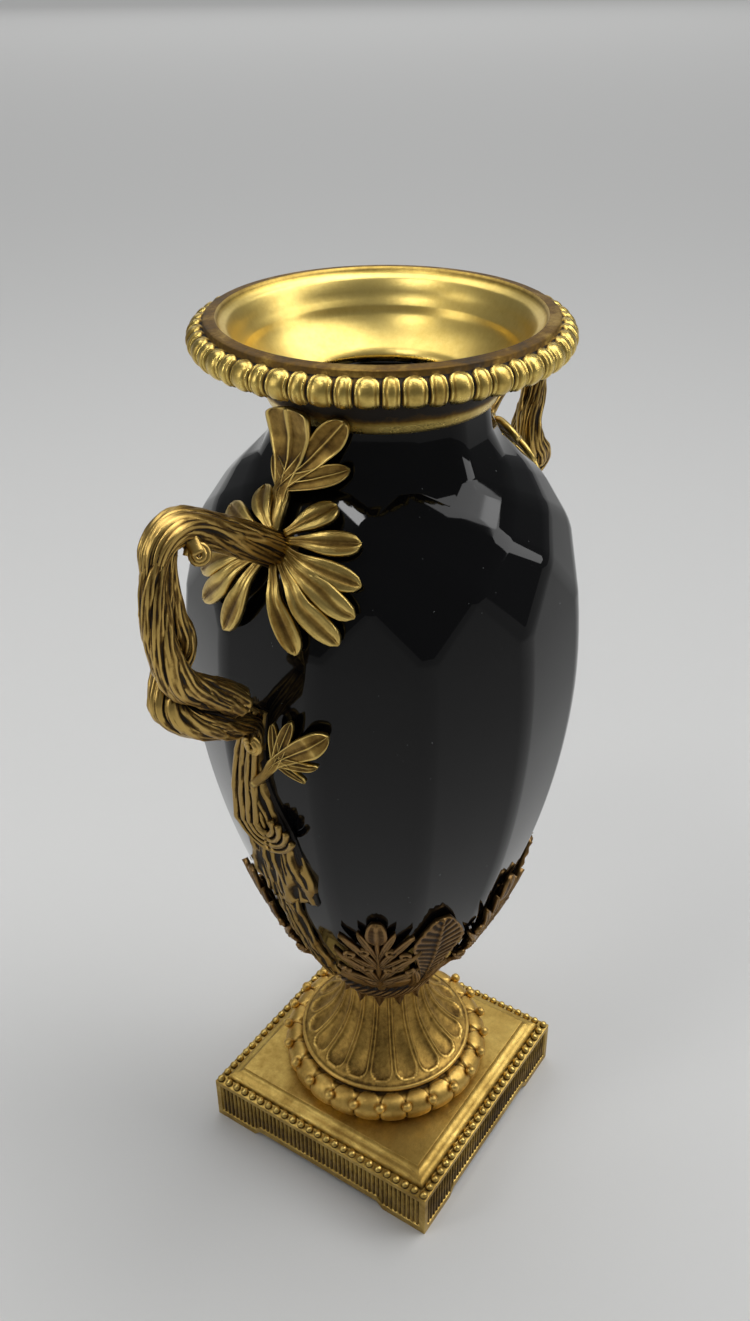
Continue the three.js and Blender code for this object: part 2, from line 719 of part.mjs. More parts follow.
function handleSolid() {
  const bothSides = [-1, 1].flatMap((side) => (
    sprayReach.map(([across, up]) => [side * across, up, sprayLeafWidth])
  ));
  const branch = [...branchRoot.map(rootPoint), ...branchRoute.map(routePoint)];
  const inner = [...innerRoute.map(routePoint), ...innerRoot.map(rootPoint)];
  const whole = union([
    strand(branch, (t) => branchRadius * (1.1 - 0.25 * t), 8, 6, 2),
    strand(outerRoute.map(routePoint), (t) => strandRadius * (0.9 + 0.15 * Math.sin(t * Math.PI)), 10, 6, 4),
    strand(inner, () => strandRadius * 0.9, 13, 6, 5),
    strapOf(strapRows, strapThickness),
    strapOf(stripRows, strapThickness * 0.8),
    hookSolid(),
    spraySolid(0, lipLevel - sprayDepth, 9, 4.5, 6, [...bothSides, ...plumeReach]),
    spraySolid(-4, lipLevel - sprigDepth, 5, 4, 5, sprigReach),
  ]);
  return settled(mainBody(whole.subtract(bodyCore(hugGap)).subtract(collarCore(hugGap))));
}

const palette = {
  plinthBronze: [0x9a7a3c, 0.42, 1],
  footBronze: [0xa07a3a, 0.38, 1],
  calyxBronze: [0x6b4b2c, 0.5, 1],
  blackGlaze: [0x0a0b0c, 0.06, 0],
  rimGilt: [0xc79a3f, 0.25, 1],
  branchBronze: [0x8f6a33, 0.42, 1],
};

function materialOf([color, roughness, metalness]) {
  return new THREE.MeshStandardMaterial({ color, roughness, metalness });
}

const vase = new THREE.Group();
vase.name = "mounted_vase";
vase.add(meshOf("plinth", plinthSolid(), materialOf(palette.plinthBronze)));
vase.add(meshOf("foot", footSolid(), materialOf(palette.footBronze)));
vase.add(meshOf("calyx", calyxSolid(), materialOf(palette.calyxBronze)));
vase.add(meshOf("vase_body", bodySolid(), materialOf(palette.blackGlaze)));
vase.add(meshOf("rim", rimSolid(), materialOf(palette.rimGilt)));
const handle = handleSolid();
vase.add(meshOf("handle_left", handle, materialOf(palette.branchBronze)));
vase.add(meshOf("handle_right", handle.rotate([0, 0, 180]), materialOf(palette.branchBronze)));

export default vase;
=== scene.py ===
from math import atan2, cos, degrees, hypot, pi, radians, sin, sqrt

import bmesh
import bpy
import numpy as np
from mathutils import Matrix, Vector, noise
from mathutils.bvhtree import BVHTree


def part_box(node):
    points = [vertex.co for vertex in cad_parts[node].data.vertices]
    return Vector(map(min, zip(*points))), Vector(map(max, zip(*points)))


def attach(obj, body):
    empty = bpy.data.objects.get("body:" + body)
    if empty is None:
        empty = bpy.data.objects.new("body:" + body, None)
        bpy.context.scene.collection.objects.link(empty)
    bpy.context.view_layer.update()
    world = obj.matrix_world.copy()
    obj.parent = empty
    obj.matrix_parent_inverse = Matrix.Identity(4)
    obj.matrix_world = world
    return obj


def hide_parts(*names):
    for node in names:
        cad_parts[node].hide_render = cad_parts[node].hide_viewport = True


# Black faceted vase in gilt bronze mounts. Lengths are millimetres until a mesh is made.
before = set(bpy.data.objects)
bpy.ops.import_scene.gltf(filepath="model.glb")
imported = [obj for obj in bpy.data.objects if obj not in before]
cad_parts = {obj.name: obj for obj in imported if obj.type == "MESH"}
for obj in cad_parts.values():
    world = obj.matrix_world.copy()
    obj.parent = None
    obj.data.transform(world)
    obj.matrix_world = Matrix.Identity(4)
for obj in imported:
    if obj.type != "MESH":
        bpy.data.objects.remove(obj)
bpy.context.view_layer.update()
metre = 0.001
print("frame loaded")


def levelOf(node, corner):
    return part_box(node)[corner][2] / metre


levels = {
    "footBase": levelOf("foot", 0),
    "footTop": levelOf("foot", 1),
    "bodyBase": levelOf("vase_body", 0),
    "lip": levelOf("vase_body", 1),
    "rimBase": levelOf("rim", 0),
}
bodyHeight = levels["lip"] - levels["bodyBase"]


# small tools

def mix(a, b, share):
    return a + (b - a) * share


def clamp(value, low=0.0, high=1.0):
    return max(low, min(high, value))


def smooth(value):
    value = clamp(value)
    return value * value * (3 - 2 * value)


def bump(distance, width):
    # round ridge of a given half width, 1 on its crest
    return cos(pi / 2 * distance / width) if abs(distance) < width else 0.0


def tipRound(t, start, least=0.02):
    # share of a blade's width: full up to start, then an elliptic end
    return sqrt(max(1 - (max(t - start, 0) / (1 - start)) ** 2, least))


def roundRelief(height):
    # relief of a plain half-round stalk
    return lambda u, t: height * sqrt(max(1 - u * u, 0))


def polar(radius, azimuth, z):
    return Vector((radius * cos(radians(azimuth)), radius * sin(radians(azimuth)), z))


def wrap(azimuth, pitch):
    # signed offset from the nearest multiple of the pitch
    return (azimuth + pitch / 2) % pitch - pitch / 2


def along(values, share):
    # straight-line reading of a table of [share, value]
    for (a, va), (b, vb) in zip(values, values[1:]):
        if share <= b:
            return mix(va, vb, clamp((share - a) / (b - a)))
    return values[-1][1]


def spline(points, steps):
    # even steps along a smooth curve through the points
    dense = []
    pts = [Vector(p) for p in points]
    padded = [pts[0] * 2 - pts[1]] + pts + [pts[-1] * 2 - pts[-2]]
    for a, b, c, d in zip(padded, padded[1:], padded[2:], padded[3:]):
        for i in range(12):
            t = i / 12
            dense.append(0.5 * (2 * b + (c - a) * t + (2 * a - 5 * b + 4 * c - d) * t * t
                                + (3 * b - a - 3 * c + d) * t ** 3))
    dense.append(pts[-1])
    lengths = np.cumsum([0.0] + [(q - p).length for p, q in zip(dense, dense[1:])])
    targets = np.linspace(0, lengths[-1], steps + 1)
    table = np.array([list(p) for p in dense])
    return [Vector([float(np.interp(s, lengths, table[:, k])) for k in range(3)]) for s in targets]


class Shape:
    # vertices and faces of one piece, gathered from rows of points
    def __init__(self):
        self.verts = []
        self.faces = []

    def addRows(self, rows, isLoop=False):
        # rows run anticlockwise seen from the end of the path; ends are closed by fans
        start = len(self.verts)
        count = len(rows[0])
        for row in rows:
            self.verts.extend(row)
        spans = len(rows) if isLoop else len(rows) - 1
        for r in range(spans):
            low = start + r * count
            high = start + ((r + 1) % len(rows)) * count
            for i in range(count):
                j = (i + 1) % count
                self.faces.append((low + i, low + j, high + j, high + i))
        if not isLoop:
            self.closeEnd(rows[0], start, True)
            self.closeEnd(rows[-1], start + (len(rows) - 1) * count, False)

    def closeEnd(self, row, start, isFirst):
        hub = len(self.verts)
        self.verts.append(sum(row, Vector()) / len(row))
        for i in range(len(row)):
            j = (i + 1) % len(row)
            self.faces.append((hub, start + (j if isFirst else i), start + (i if isFirst else j)))

    def toObject(self, name, material):
        mesh = bpy.data.meshes.new(name)
        mesh.from_pydata([tuple(v * metre) for v in self.verts], [], self.faces)
        mesh.validate()
        return addObject(name, mesh, material)


def addObject(name, mesh, material):
    obj = bpy.data.objects.new(name, mesh)
    bpy.context.scene.collection.objects.link(obj)
    if not mesh.materials:
        mesh.materials.append(material)
    mesh.shade_smooth()
    return obj


def markRecess(obj, passes, depth):
    # how far each point lies below its smoothed surroundings: 0.5 level, 1 deep in a recess; the bronze
    # darkens with it, brown patina together with painted shade in the hollows
    mesh = obj.data
    count = len(mesh.vertices)
    places = np.empty(count * 3)
    mesh.vertices.foreach_get("co", places)
    places = places.reshape(-1, 3)
    normals = np.empty(count * 3)
    mesh.vertices.foreach_get("normal", normals)
    normals = normals.reshape(-1, 3)
    edges = np.empty(len(mesh.edges) * 2, dtype=np.int64)
    mesh.edges.foreach_get("vertices", edges)
    edges = edges.reshape(-1, 2)
    both = np.concatenate([edges, edges[:, ::-1]])
    neighbours = np.maximum(np.bincount(both[:, 0], minlength=count), 1)[:, None]
    blurred = places.copy()
    for _ in range(passes):
        sums = np.stack([np.bincount(both[:, 0], weights=blurred[both[:, 1], k], minlength=count)
                         for k in range(3)], axis=1)
        blurred = (blurred + sums / neighbours) / 2
    below = ((blurred - places) * normals).sum(axis=1) / (depth * metre)
    attribute = mesh.attributes.new("recess", "FLOAT", "POINT")
    attribute.data.foreach_set("value", np.clip(0.5 + 0.5 * below, 0, 1).astype(np.float32))


def markCreviceDirtAndShade(obj, reach, weight):
    # darken what lies close in front of another surface of the same casting: painted shade of occlusion,
    # together with dirt in the crevices
    mesh = obj.data
    tree = BVHTree.FromPolygons([v.co for v in mesh.vertices], [p.vertices for p in mesh.polygons])
    levelsNow = np.empty(len(mesh.vertices), dtype=np.float32)
    mesh.attributes["recess"].data.foreach_get("value", levelsNow)
    tilts = [(0.0, 0.0)] + [(cos(i * pi / 2.5), sin(i * pi / 2.5)) for i in range(5)]
    for index, vertex in enumerate(mesh.vertices):
        normal = vertex.normal
        side = normal.orthogonal()
        other = normal.cross(side)
        start = vertex.co + normal * (0.2 * metre)
        hits = sum(tree.ray_cast(start, normal * 0.8 + side * a + other * b, reach * metre)[0] is not None
                   for a, b in tilts)
        levelsNow[index] += weight * hits / len(tilts)
    mesh.attributes["recess"].data.foreach_set("value", np.clip(levelsNow, 0, 1))


def finishPiece(obj, node):
    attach(obj, "root")
    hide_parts(node)


# materials

def newMaterial(name):
    material = bpy.data.materials.new(name)
    material.use_nodes = True
    nodes = material.node_tree.nodes
    nodes.clear()
    out = nodes.new("ShaderNodeOutputMaterial")
    shader = nodes.new("ShaderNodeBsdfPrincipled")
    material.node_tree.links.new(shader.outputs[0], out.inputs[0])
    return material, nodes, material.node_tree.links, shader


def noiseNode(nodes, links, coords, scale, detail, roughness=0.6):
    node = nodes.new("ShaderNodeTexNoise")
    node.inputs["Scale"].default_value = scale
    node.inputs["Detail"].default_value = detail
    node.inputs["Roughness"].default_value = roughness
    links.new(coords, node.inputs["Vector"])
    return node.outputs["Fac"]


def feed(links, sockets, values):
    # a number sets its socket, another node's output is linked to it
    for socket, value in zip(sockets, values):
        if isinstance(value, (int, float)):
            socket.default_value = value
        else:
            links.new(value, socket)


def mathNode(nodes, links, operation, a, b):
    node = nodes.new("ShaderNodeMath")
    node.operation = operation
    feed(links, node.inputs, (a, b))
    return node.outputs[0]


def rampNode(nodes, links, factor, stops):
    node = nodes.new("ShaderNodeValToRGB")
    ramp = node.color_ramp
    while len(ramp.elements) < len(stops):
        ramp.elements.new(0.5)
    for element, (place, colour) in zip(ramp.elements, stops):
        element.position = place
        element.color = (*colour, 1) if len(colour) == 3 else colour
    links.new(factor, node.inputs[0])
    return node.outputs[0]


def bronzeMaterial(name, look):
    # cast bronze: gilding rubbed bright on the crests; the recesses darkened by brown patina together with
    # painted shade
    material, nodes, links, shader = newMaterial(name)
    coords = nodes.new("ShaderNodeTexCoord").outputs["Object"]
    recess = nodes.new("ShaderNodeAttribute")
    recess.attribute_name = "recess"
    cloud = noiseNode(nodes, links, coords, look["cloudScale"], 4)
    grain = noiseNode(nodes, links, coords, look["grainScale"], 6, 0.7)
    pits = noiseNode(nodes, links, coords, 1400, 3, 0.6)
    depth = mathNode(nodes, links, "MULTIPLY", recess.outputs["Fac"], look["recessWeight"])
    patch = mathNode(nodes, links, "MULTIPLY", cloud, look["cloudWeight"])
    fleck = mathNode(nodes, links, "MULTIPLY", grain, look["grainWeight"])
    # darkness from the recess value is brown patina together with painted shade; cloud patches and flecks are
    # patina
    patinaAndShade = mathNode(nodes, links, "ADD", mathNode(nodes, links, "ADD", depth, patch), fleck)
    level = look["recessWeight"] * 0.5 + look["cloudWeight"] * 0.5 + look["grainWeight"] * 0.5
    patinaAndShade = mathNode(nodes, links, "ADD", patinaAndShade, 0.5 - level)
    colour = rampNode(nodes, links, patinaAndShade, [
        (look["brightAt"], look["bright"]), (look["goldAt"], look["gold"]),
        (look["brownAt"], look["brown"]), (look["darkAt"], look["dark"]),
    ])
    rough = rampNode(nodes, links, patinaAndShade, [
        (look["brightAt"], (look["roughBright"],) * 3), (look["brownAt"], (look["roughDark"],) * 3),
    ])
    metal = rampNode(nodes, links, patinaAndShade, [
        (look["brownAt"], (1, 1, 1)), (look["darkAt"], (0.45, 0.45, 0.45)),
    ])
    links.new(colour, shader.inputs["Base Color"])
    links.new(rough, shader.inputs["Roughness"])
    links.new(metal, shader.inputs["Metallic"])
    relief = nodes.new("ShaderNodeBump")
    relief.inputs["Strength"].default_value = look["bumpStrength"]
    relief.inputs["Distance"].default_value = 0.0006
    links.new(mathNode(nodes, links, "ADD", grain, mathNode(nodes, links, "MULTIPLY", pits, 0.5)),
              relief.inputs["Height"])
    links.new(relief.outputs[0], shader.inputs["Normal"])
    return material


bronzeLook = {
    "bright": (0.74, 0.51, 0.15), "gold": (0.38, 0.228, 0.054), "brown": (0.12, 0.068, 0.019),
    "dark": (0.014, 0.009, 0.005), "brightAt": 0.24, "goldAt": 0.46, "brownAt": 0.64, "darkAt": 0.84,
    "roughBright": 0.30, "roughDark": 0.58, "recessWeight": 1.25, "cloudScale": 32, "cloudWeight": 0.6,
    "grainScale": 260, "grainWeight": 0.35, "bumpStrength": 0.3,
}
plinthLook = {
    **bronzeLook, "bright": (0.66, 0.465, 0.135), "gold": (0.40, 0.257, 0.063), "brown": (0.14, 0.084, 0.025),
    "roughBright": 0.34, "cloudScale": 40,
}
footLook = {
    **bronzeLook, "bright": (0.80, 0.54, 0.155), "gold": (0.50, 0.313, 0.077), "roughBright": 0.38,
    "recessWeight": 0.5, "cloudWeight": 0.4,
}
# calyx: a much darker copy of the bronze, painted shade for its place under the belly
calyxShadedLook = {
    **bronzeLook, "bright": (0.27, 0.16, 0.06), "gold": (0.10, 0.054, 0.019), "brown": (0.05, 0.027, 0.01),
    "dark": (0.008, 0.005, 0.004), "roughBright": 0.38,
}
rimLook = {
    **bronzeLook, "bright": (0.78, 0.58, 0.165), "gold": (0.43, 0.284, 0.066), "brown": (0.16, 0.09, 0.022),
    "cloudWeight": 0.7, "roughBright": 0.26,
}
bowlLook = {
    **rimLook, "bright": (0.82, 0.62, 0.19), "gold": (0.68, 0.48, 0.116), "brownAt": 0.80, "darkAt": 0.99,
    "roughBright": 0.32, "roughDark": 0.44, "bumpStrength": 0.14, "cloudScale": 22, "cloudWeight": 0.4,
}
branchLook = {
    **bronzeLook, "bright": (0.57, 0.38, 0.112), "gold": (0.185, 0.107, 0.028), "brown": (0.06, 0.033, 0.01),
    "recessWeight": 1.5, "goldAt": 0.42, "brownAt": 0.58, "darkAt": 0.76,
}
strapLook = {
    **branchLook, "bright": (0.40, 0.26, 0.08), "gold": (0.135, 0.08, 0.023), "brown": (0.036, 0.02, 0.007),
    "roughBright": 0.34,
}
leafLook = {
    **branchLook, "bright": (0.72, 0.52, 0.158), "gold": (0.36, 0.227, 0.058), "brown": (0.13, 0.074, 0.02),
    "recessWeight": 0.95, "brownAt": 0.64, "darkAt": 0.84,
}

plinthBronze = bronzeMaterial("plinthBronze", plinthLook)
footBronze = bronzeMaterial("footBronze", footLook)
calyxBronze = bronzeMaterial("calyxBronze", calyxShadedLook)
rimBronze = bronzeMaterial("rimBronze", rimLook)
bowlGilt = bronzeMaterial("bowlGilt", bowlLook)
branchBronze = bronzeMaterial("branchBronze", branchLook)
strapBronze = bronzeMaterial("strapBronze", strapLook)
leafBronze = bronzeMaterial("leafBronze", leafLook)


glaze = {
    "colour": (0.0028, 0.0028, 0.0032), "dust": (0.16, 0.17, 0.17), "dustScale": 420, "hazeScale": 14,
    "waveScale": 9, "waveHeight": 0.004, "refraction": 1.33, "roughLow": 0.035, "roughHigh": 0.075,
}


def glazeMaterial():
    # black glaze, slightly wavy, with a little dust
    material, nodes, links, shader = newMaterial("blackGlaze")
    coords = nodes.new("ShaderNodeTexCoord").outputs["Object"]
    dust = noiseNode(nodes, links, coords, glaze["dustScale"], 2, 0.5)
    haze = noiseNode(nodes, links, coords, glaze["hazeScale"], 5, 0.6)
    specks = rampNode(nodes, links, dust, [
        (0.0, glaze["colour"]), (0.765, glaze["colour"]), (0.80, glaze["dust"]),
    ])
    links.new(specks, shader.inputs["Base Color"])
    rough = rampNode(nodes, links, haze, [(0.35, (glaze["roughLow"],) * 3), (0.75, (glaze["roughHigh"],) * 3)])
    links.new(rough, shader.inputs["Roughness"])
    shader.inputs["IOR"].default_value = glaze["refraction"]
    wave = noiseNode(nodes, links, coords, glaze["waveScale"], 1.5, 0.4)
    relief = nodes.new("ShaderNodeBump")
    relief.inputs["Strength"].default_value = 0.10
    relief.inputs["Distance"].default_value = glaze["waveHeight"]
    links.new(wave, relief.inputs["Height"])
    links.new(relief.outputs[0], shader.inputs["Normal"])
    return material


blackGlaze = glazeMaterial()
print("materials made")


# camera, first, at the photograph's angle

view = {
    "place": (-0.52488, -0.34630, 0.77674), "forward": (0.70285754, 0.47212814, -0.53205855),
    "roll": -0.5624, "lens": 33.751,
}


def addCamera():
    data = bpy.data.cameras.new("camera")
    data.sensor_fit = "VERTICAL"
    data.sensor_height = 36
    data.lens = view["lens"]
    camera = bpy.data.objects.new("camera", data)
    bpy.context.scene.collection.objects.link(camera)
    forward = Vector(view["forward"]).normalized()
    level = forward.cross(Vector((0, 0, 1))).normalized()
    up = level.cross(forward)
    roll = radians(view["roll"])
    right = level * cos(roll) + up * sin(roll)
    top = up * cos(roll) - level * sin(roll)
    turn = Matrix((right, top, -forward)).transposed()
    camera.matrix_world = Matrix.Translation(view["place"]) @ turn.to_4x4()
    bpy.context.scene.camera = camera


addCamera()


# ceramic body

body = {
    "sides": 12, "baseRadius": 30, "radius": 116.1, "bellyHeight": 256, "shoulderDepth": 103.5,
    "shoulderInset": 3.1, "neckRadius": 58.5, "mouthRadius": 50, "wall": 6, "floor": 9,
    "facets": [[70.7, 0.835], [53.1, 0.618], [39.6, 0.387], [28.5, 0.167]],
    "neckDepth": 15, "neckFlare": 2, "edgeRound": 6.0, "rows": 34,
}


def bellyRadius(z):
    belly = levels["bodyBase"] + body["bellyHeight"]
    if z > belly:
        rise = (z - belly) / (levels["lip"] - body["shoulderDepth"] - belly)
        return body["radius"] - body["shoulderInset"] * rise * rise
    drop = clamp((belly - z) / body["bellyHeight"])
    return mix(body["baseRadius"], body["radius"], (1 - drop ** 1.8) ** 0.75)


def bodyRing(radius, z, isTurned):
    step = 360 / body["sides"]
    return [polar(radius, (i + (1 if isTurned else 0.5)) * step, z) for i in range(body["sides"])]


def shoulderRings():
    # each ring: level, radius and whether its corners sit on the panels' middles
    top = body["radius"] - body["shoulderInset"]
    rings = [(levels["lip"] - depth, mix(body["neckRadius"], top, share), i % 2 == 0)
             for i, (depth, share) in enumerate(body["facets"])]
    neck = (levels["lip"] - body["neckDepth"], body["neckRadius"] + body["neckFlare"], False)
    return rings + [neck, (levels["lip"], body["neckRadius"], False)]


def makeBody():
    sides = body["sides"]
    bm = bmesh.new()

    def addRing(points):
        return [bm.verts.new(p * metre) for p in points]

    edgeTop = levels["lip"] - body["shoulderDepth"]
    drops = [(i / body["rows"]) ** 1.35 for i in range(body["rows"] + 1)]
    heights = [mix(levels["bodyBase"], edgeTop, share) for share in drops]
    straight = [addRing(bodyRing(bellyRadius(z), z, False)) for z in heights]
    upper = [addRing(bodyRing(radius, z, turned)) for z, radius, turned in shoulderRings()]
    creases = set()

    def crease(a, b):
        creases.add(frozenset((a, b)))

    for low, high in zip(straight, straight[1:]):
        for i in range(sides):
            j = (i + 1) % sides
            bm.faces.new((low[i], low[j], high[j], high[i]))
            crease(low[i], high[i])
    base, mids, corners, mids2, corners2, neck, lip = straight[-1], *upper
    for i in range(sides):
        j = (i + 1) % sides
        h = i - 1
        bm.faces.new((base[i], base[j], mids[i]))
        bm.faces.new((base[i], mids[i], corners[i], mids[h]))
        bm.faces.new((mids[i], corners[j], mids2[i], corners[i]))
        bm.faces.new((corners[i], mids2[i], corners2[i], mids2[h]))
        bm.faces.new((mids2[i], corners2[j], corners2[i]))
        bm.faces.new((corners2[i], corners2[j], neck[j], neck[i]))
        bm.faces.new((neck[i], neck[j], lip[j], lip[i]))
        for a, b in ((base[i], mids[i]), (base[i], mids[h]), (mids[i], corners[i]), (mids[i], corners[j]),
                     (corners[i], mids2[i]), (corners[j], mids2[i]), (mids2[i], corners2[i]),
                     (mids2[i], corners2[j]), (corners2[i], neck[i]), (neck[i], lip[i])):
            crease(a, b)
    inside = [addRing(bodyRing(radius, z, False)) for radius, z in innerRings()]
    for low, high in zip([lip] + inside, inside):
        for i in range(sides):
            j = (i + 1) % sides
            bm.faces.new((low[i], low[j], high[j], high[i]))
    bm.faces.new(list(reversed(straight[0])))
    bm.faces.new(inside[-1])
    bm.normal_update()
    sharp = [e for e in bm.edges if frozenset(e.verts) in creases]
    bmesh.ops.bevel(bm, geom=sharp, offset=body["edgeRound"] * metre, segments=4, profile=0.5,
                    affect="EDGES", clamp_overlap=True, loop_slide=True)
    lipEdges = [e for e in bm.edges if all(v.co.z > (levels["lip"] - 0.01) * metre for v in e.verts)]
    bmesh.ops.bevel(bm, geom=lipEdges, offset=1.2 * metre, segments=3, profile=0.5,
                    affect="EDGES", clamp_overlap=True)
    bmesh.ops.recalc_face_normals(bm, faces=bm.faces)
    mesh = bpy.data.meshes.new("ceramicBody")
    bm.to_mesh(mesh)
    tree = BVHTree.FromBMesh(bm)
    bm.free()
    obj = addObject("ceramicBody", mesh, blackGlaze)
    normals = obj.modifiers.new("normals", "WEIGHTED_NORMAL")
    normals.keep_sharp = False
    normals.weight = 80
    finishPiece(obj, "vase_body")
    return tree


def innerRings():
    # radius and level down the inside, from the mouth to the floor
    wall = body["wall"]
    edgeTop = levels["lip"] - body["shoulderDepth"]
    mouth = body["mouthRadius"]
    neck = [(mouth, levels["lip"]), (mouth + 1.5, levels["lip"] - body["neckDepth"])]
    shoulder = [(radius - wall * 1.3, z - wall * 0.6) for z, radius, _ in reversed(shoulderRings()[:4])]
    heights = [mix(levels["bodyBase"] + body["floor"] * 2.2, edgeTop, 1 - i / 14) for i in range(15)]
    belly = [(bellyRadius(z) - wall * 1.06, z) for z in heights]
    low = belly[-1][0]
    return neck + shoulder + belly + [(low * 0.72, levels["bodyBase"] + body["floor"])]


bodyTree = makeBody()
print("body made")


def smoothRadius(azimuth, z):
    # the body's and collar's radius towards an azimuth, without the small facets
    rings = [(levels["lip"] - body["shoulderDepth"], body["radius"] - body["shoulderInset"])]
    rings += [(level, radius) for level, radius, _ in shoulderRings()]
    rings.append((levels["rimBase"] + 12.7, body["neckRadius"] + 8))
    half = 180 / body["sides"]
    if z < rings[0][0]:
        return bellyRadius(z) * cos(radians(half)) / cos(radians(wrap(azimuth, 2 * half)))
    return 0.985 * along(rings, z)


def skinRadius(azimuth, z):
    radius = smoothRadius(azimuth, z)
    if z < levels["lip"]:
        start = polar(200, azimuth, z) * metre
        hit = bodyTree.ray_cast(start, -polar(1, azimuth, 0))[0]
        if hit:
            radius = max(radius, hit.xy.length / metre)
    return radius


def onSkin(azimuth, z, lift):
    # a point above the skin and the skin's outward normal there
    step = 3
    slope = (smoothRadius(azimuth, z + step) - smoothRadius(azimuth, z - step)) / (2 * step)
    normal = polar(1, azimuth, -slope).normalized()
    return polar(skinRadius(azimuth, z), azimuth, z) + normal * lift, normal


def addBlade(shape, path, halfWidth, relief, back, columns=8, place=onSkin):
    # leaf, strap or stalk along (azimuth, z, lift) stations, closed behind
    stations = [place(*station) for station in path]
    rows = []
    for i, (point, normal) in enumerate(stations):
        before = stations[max(i - 1, 0)][0]
        after = stations[min(i + 1, len(stations) - 1)][0]
        tangent = (after - before).normalized()
        across = normal.cross(tangent).normalized()
        t = i / (len(stations) - 1)
        width = halfWidth(t)
        sides = [1 - 2 * k / columns for k in range(columns + 1)]
        front = [point + across * (u * width) + normal * relief(u, t) for u in sides]
        rear = [point + across * (u * width * 0.94) - normal * back for u in reversed(sides)]
        rows.append(front + rear)
    shape.addRows(rows)


# rim

rim = {
    "pairs": 28, "wideShare": 0.57, "middle": (87.3, 32.7), "reach": 13, "rise": 9.5,
    "firstAngle": -68, "lastAngle": 70, "columns": 20, "groove": 2.6, "border": 0.55,
    "collar": [[60.5, 0], [61.2, 1.5], [62.6, 4.5], [64.2, 8], [66.5, 12.7], [67.2, 15], [69, 17.7],
               [72.6, 20.2], [77.3, 21.7]],
    "bowl": [[91.2, 41.9], [90.4, 42.4], [88.4, 42.6], [86.3, 42.7], [84.9, 43.1], [83.9, 41.4], [82.2, 39.5],
             [80.2, 38.6], [78.6, 37.4], [76, 31.4], [73.6, 27.6], [71.6, 25.4], [71.0, 24.2], [70.6, 22.5],
             [69.2, 20.0], [66, 16.4], [62.6, 13.0], [58.6, 9.9], [54.4, 6.6], [49.9, 3.7], [49.6, 0]],
    # where the gilt bowl ends, the patina levels of the bowl and the ring on its edge, and how much darker the
    # collar is made
    "bowlRadius": 85.5, "bowlTint": 0.34, "ringTint": 0.62, "collarTint": 0.26, "collarHeight": 22,
}


def gadroonHeight(across, lengthways, halfWidth, halfLength):
    # rounded lobe with a thin raised border, in a groove between lobes
    straight = halfLength - halfWidth
    reach = hypot(across, max(abs(lengthways) - straight, 0))
    inside = halfWidth - reach
    if inside < 0.5:
        return -rim["groove"]
    border = rim["border"] * bump(inside - 1.1, 0.8)
    share = clamp((inside - 0.5) / (halfWidth - 0.5))
    crown = sqrt(1 - (1 - share) ** 2)
    return mix(-rim["groove"], 0, crown) + border - 0.35 * bump(inside - 2.3, 0.9)


def makeRim():
    pitch = 360 / rim["pairs"]
    lobes = [(0, rim["wideShare"]), (rim["wideShare"], 1)]
    azimuths = [(pair + mix(a, b, k / rim["columns"])) * pitch
                for pair in range(rim["pairs"]) for a, b in lobes for k in range(rim["columns"])]
    widths = [(b - a) * pitch for a, b in lobes]
    centreR, centreZ = rim["middle"]
    span = rim["lastAngle"] - rim["firstAngle"]
    middleAngle = (rim["firstAngle"] + rim["lastAngle"]) / 2
    halfLength = radians(span) * (rim["reach"] + rim["rise"]) / 4
    angles = [mix(rim["firstAngle"], rim["lastAngle"], k / 26) for k in range(27)]
    base = levels["rimBase"]
    rows = [[polar(r, azimuth, base + z) for azimuth in azimuths] for r, z in rim["collar"]]
    for angle in angles:
        offset = (angle - middleAngle) / span
        row = []
        for index, azimuth in enumerate(azimuths):
            lobe = (index // rim["columns"]) % 2
            width = radians(widths[lobe]) * (centreR + rim["reach"] * 0.8)
            across = ((index % rim["columns"]) / rim["columns"] - 0.5) * width
            carve = gadroonHeight(across, offset * 2 * halfLength, width / 2, halfLength)
            row.append(polar(
                centreR + (rim["reach"] + carve) * cos(radians(angle)), azimuth,
                base + centreZ + (rim["rise"] + carve) * sin(radians(angle)),
            ))
        rows.append(row)
    rows += [[polar(r, azimuth, base + z) for azimuth in azimuths] for r, z in rim["bowl"]]
    shape = Shape()
    shape.addRows([rows[-1]] + rows[:-1], isLoop=True)
    obj = shape.toObject("gadroonedRim", rimBronze)
    obj.data.materials.append(bowlGilt)
    for polygon in obj.data.polygons:
        centre = polygon.center / metre
        radius = hypot(centre.x, centre.y)
        isBowl = radius < rim["bowlRadius"] and centre.z > base + 3 and polygon.normal.z > -0.2
        isLow = radius > 60 and centre.z < base + rim["collarHeight"]
        isOutside = isLow and polygon.normal.xy.dot(centre.xy) > 0
        if isBowl and not isOutside:
            polygon.material_index = 1
    markRecess(obj, 14, 0.9)
    tintRim(obj, base)
    finishPiece(obj, "rim")


def tintRim(obj, base):
    # even gilding in the bowl, a brown ring along its edge, and a darker collar below the lobes
    for vertex, item in zip(obj.data.vertices, obj.data.attributes["recess"].data):
        radius = hypot(vertex.co.x, vertex.co.y) / metre
        z = vertex.co.z / metre - base
        isInward = vertex.normal.xy.dot(vertex.co.xy) < 0
        if isInward and radius < 83:
            item.value = rim["bowlTint"]
        elif z > 38 and radius < 91.5:
            item.value = rim["ringTint"]
        elif z < rim["collarHeight"] and radius > 60:
            item.value = min(item.value + rim["collarTint"], 1)


makeRim()
print("rim made")


# foot

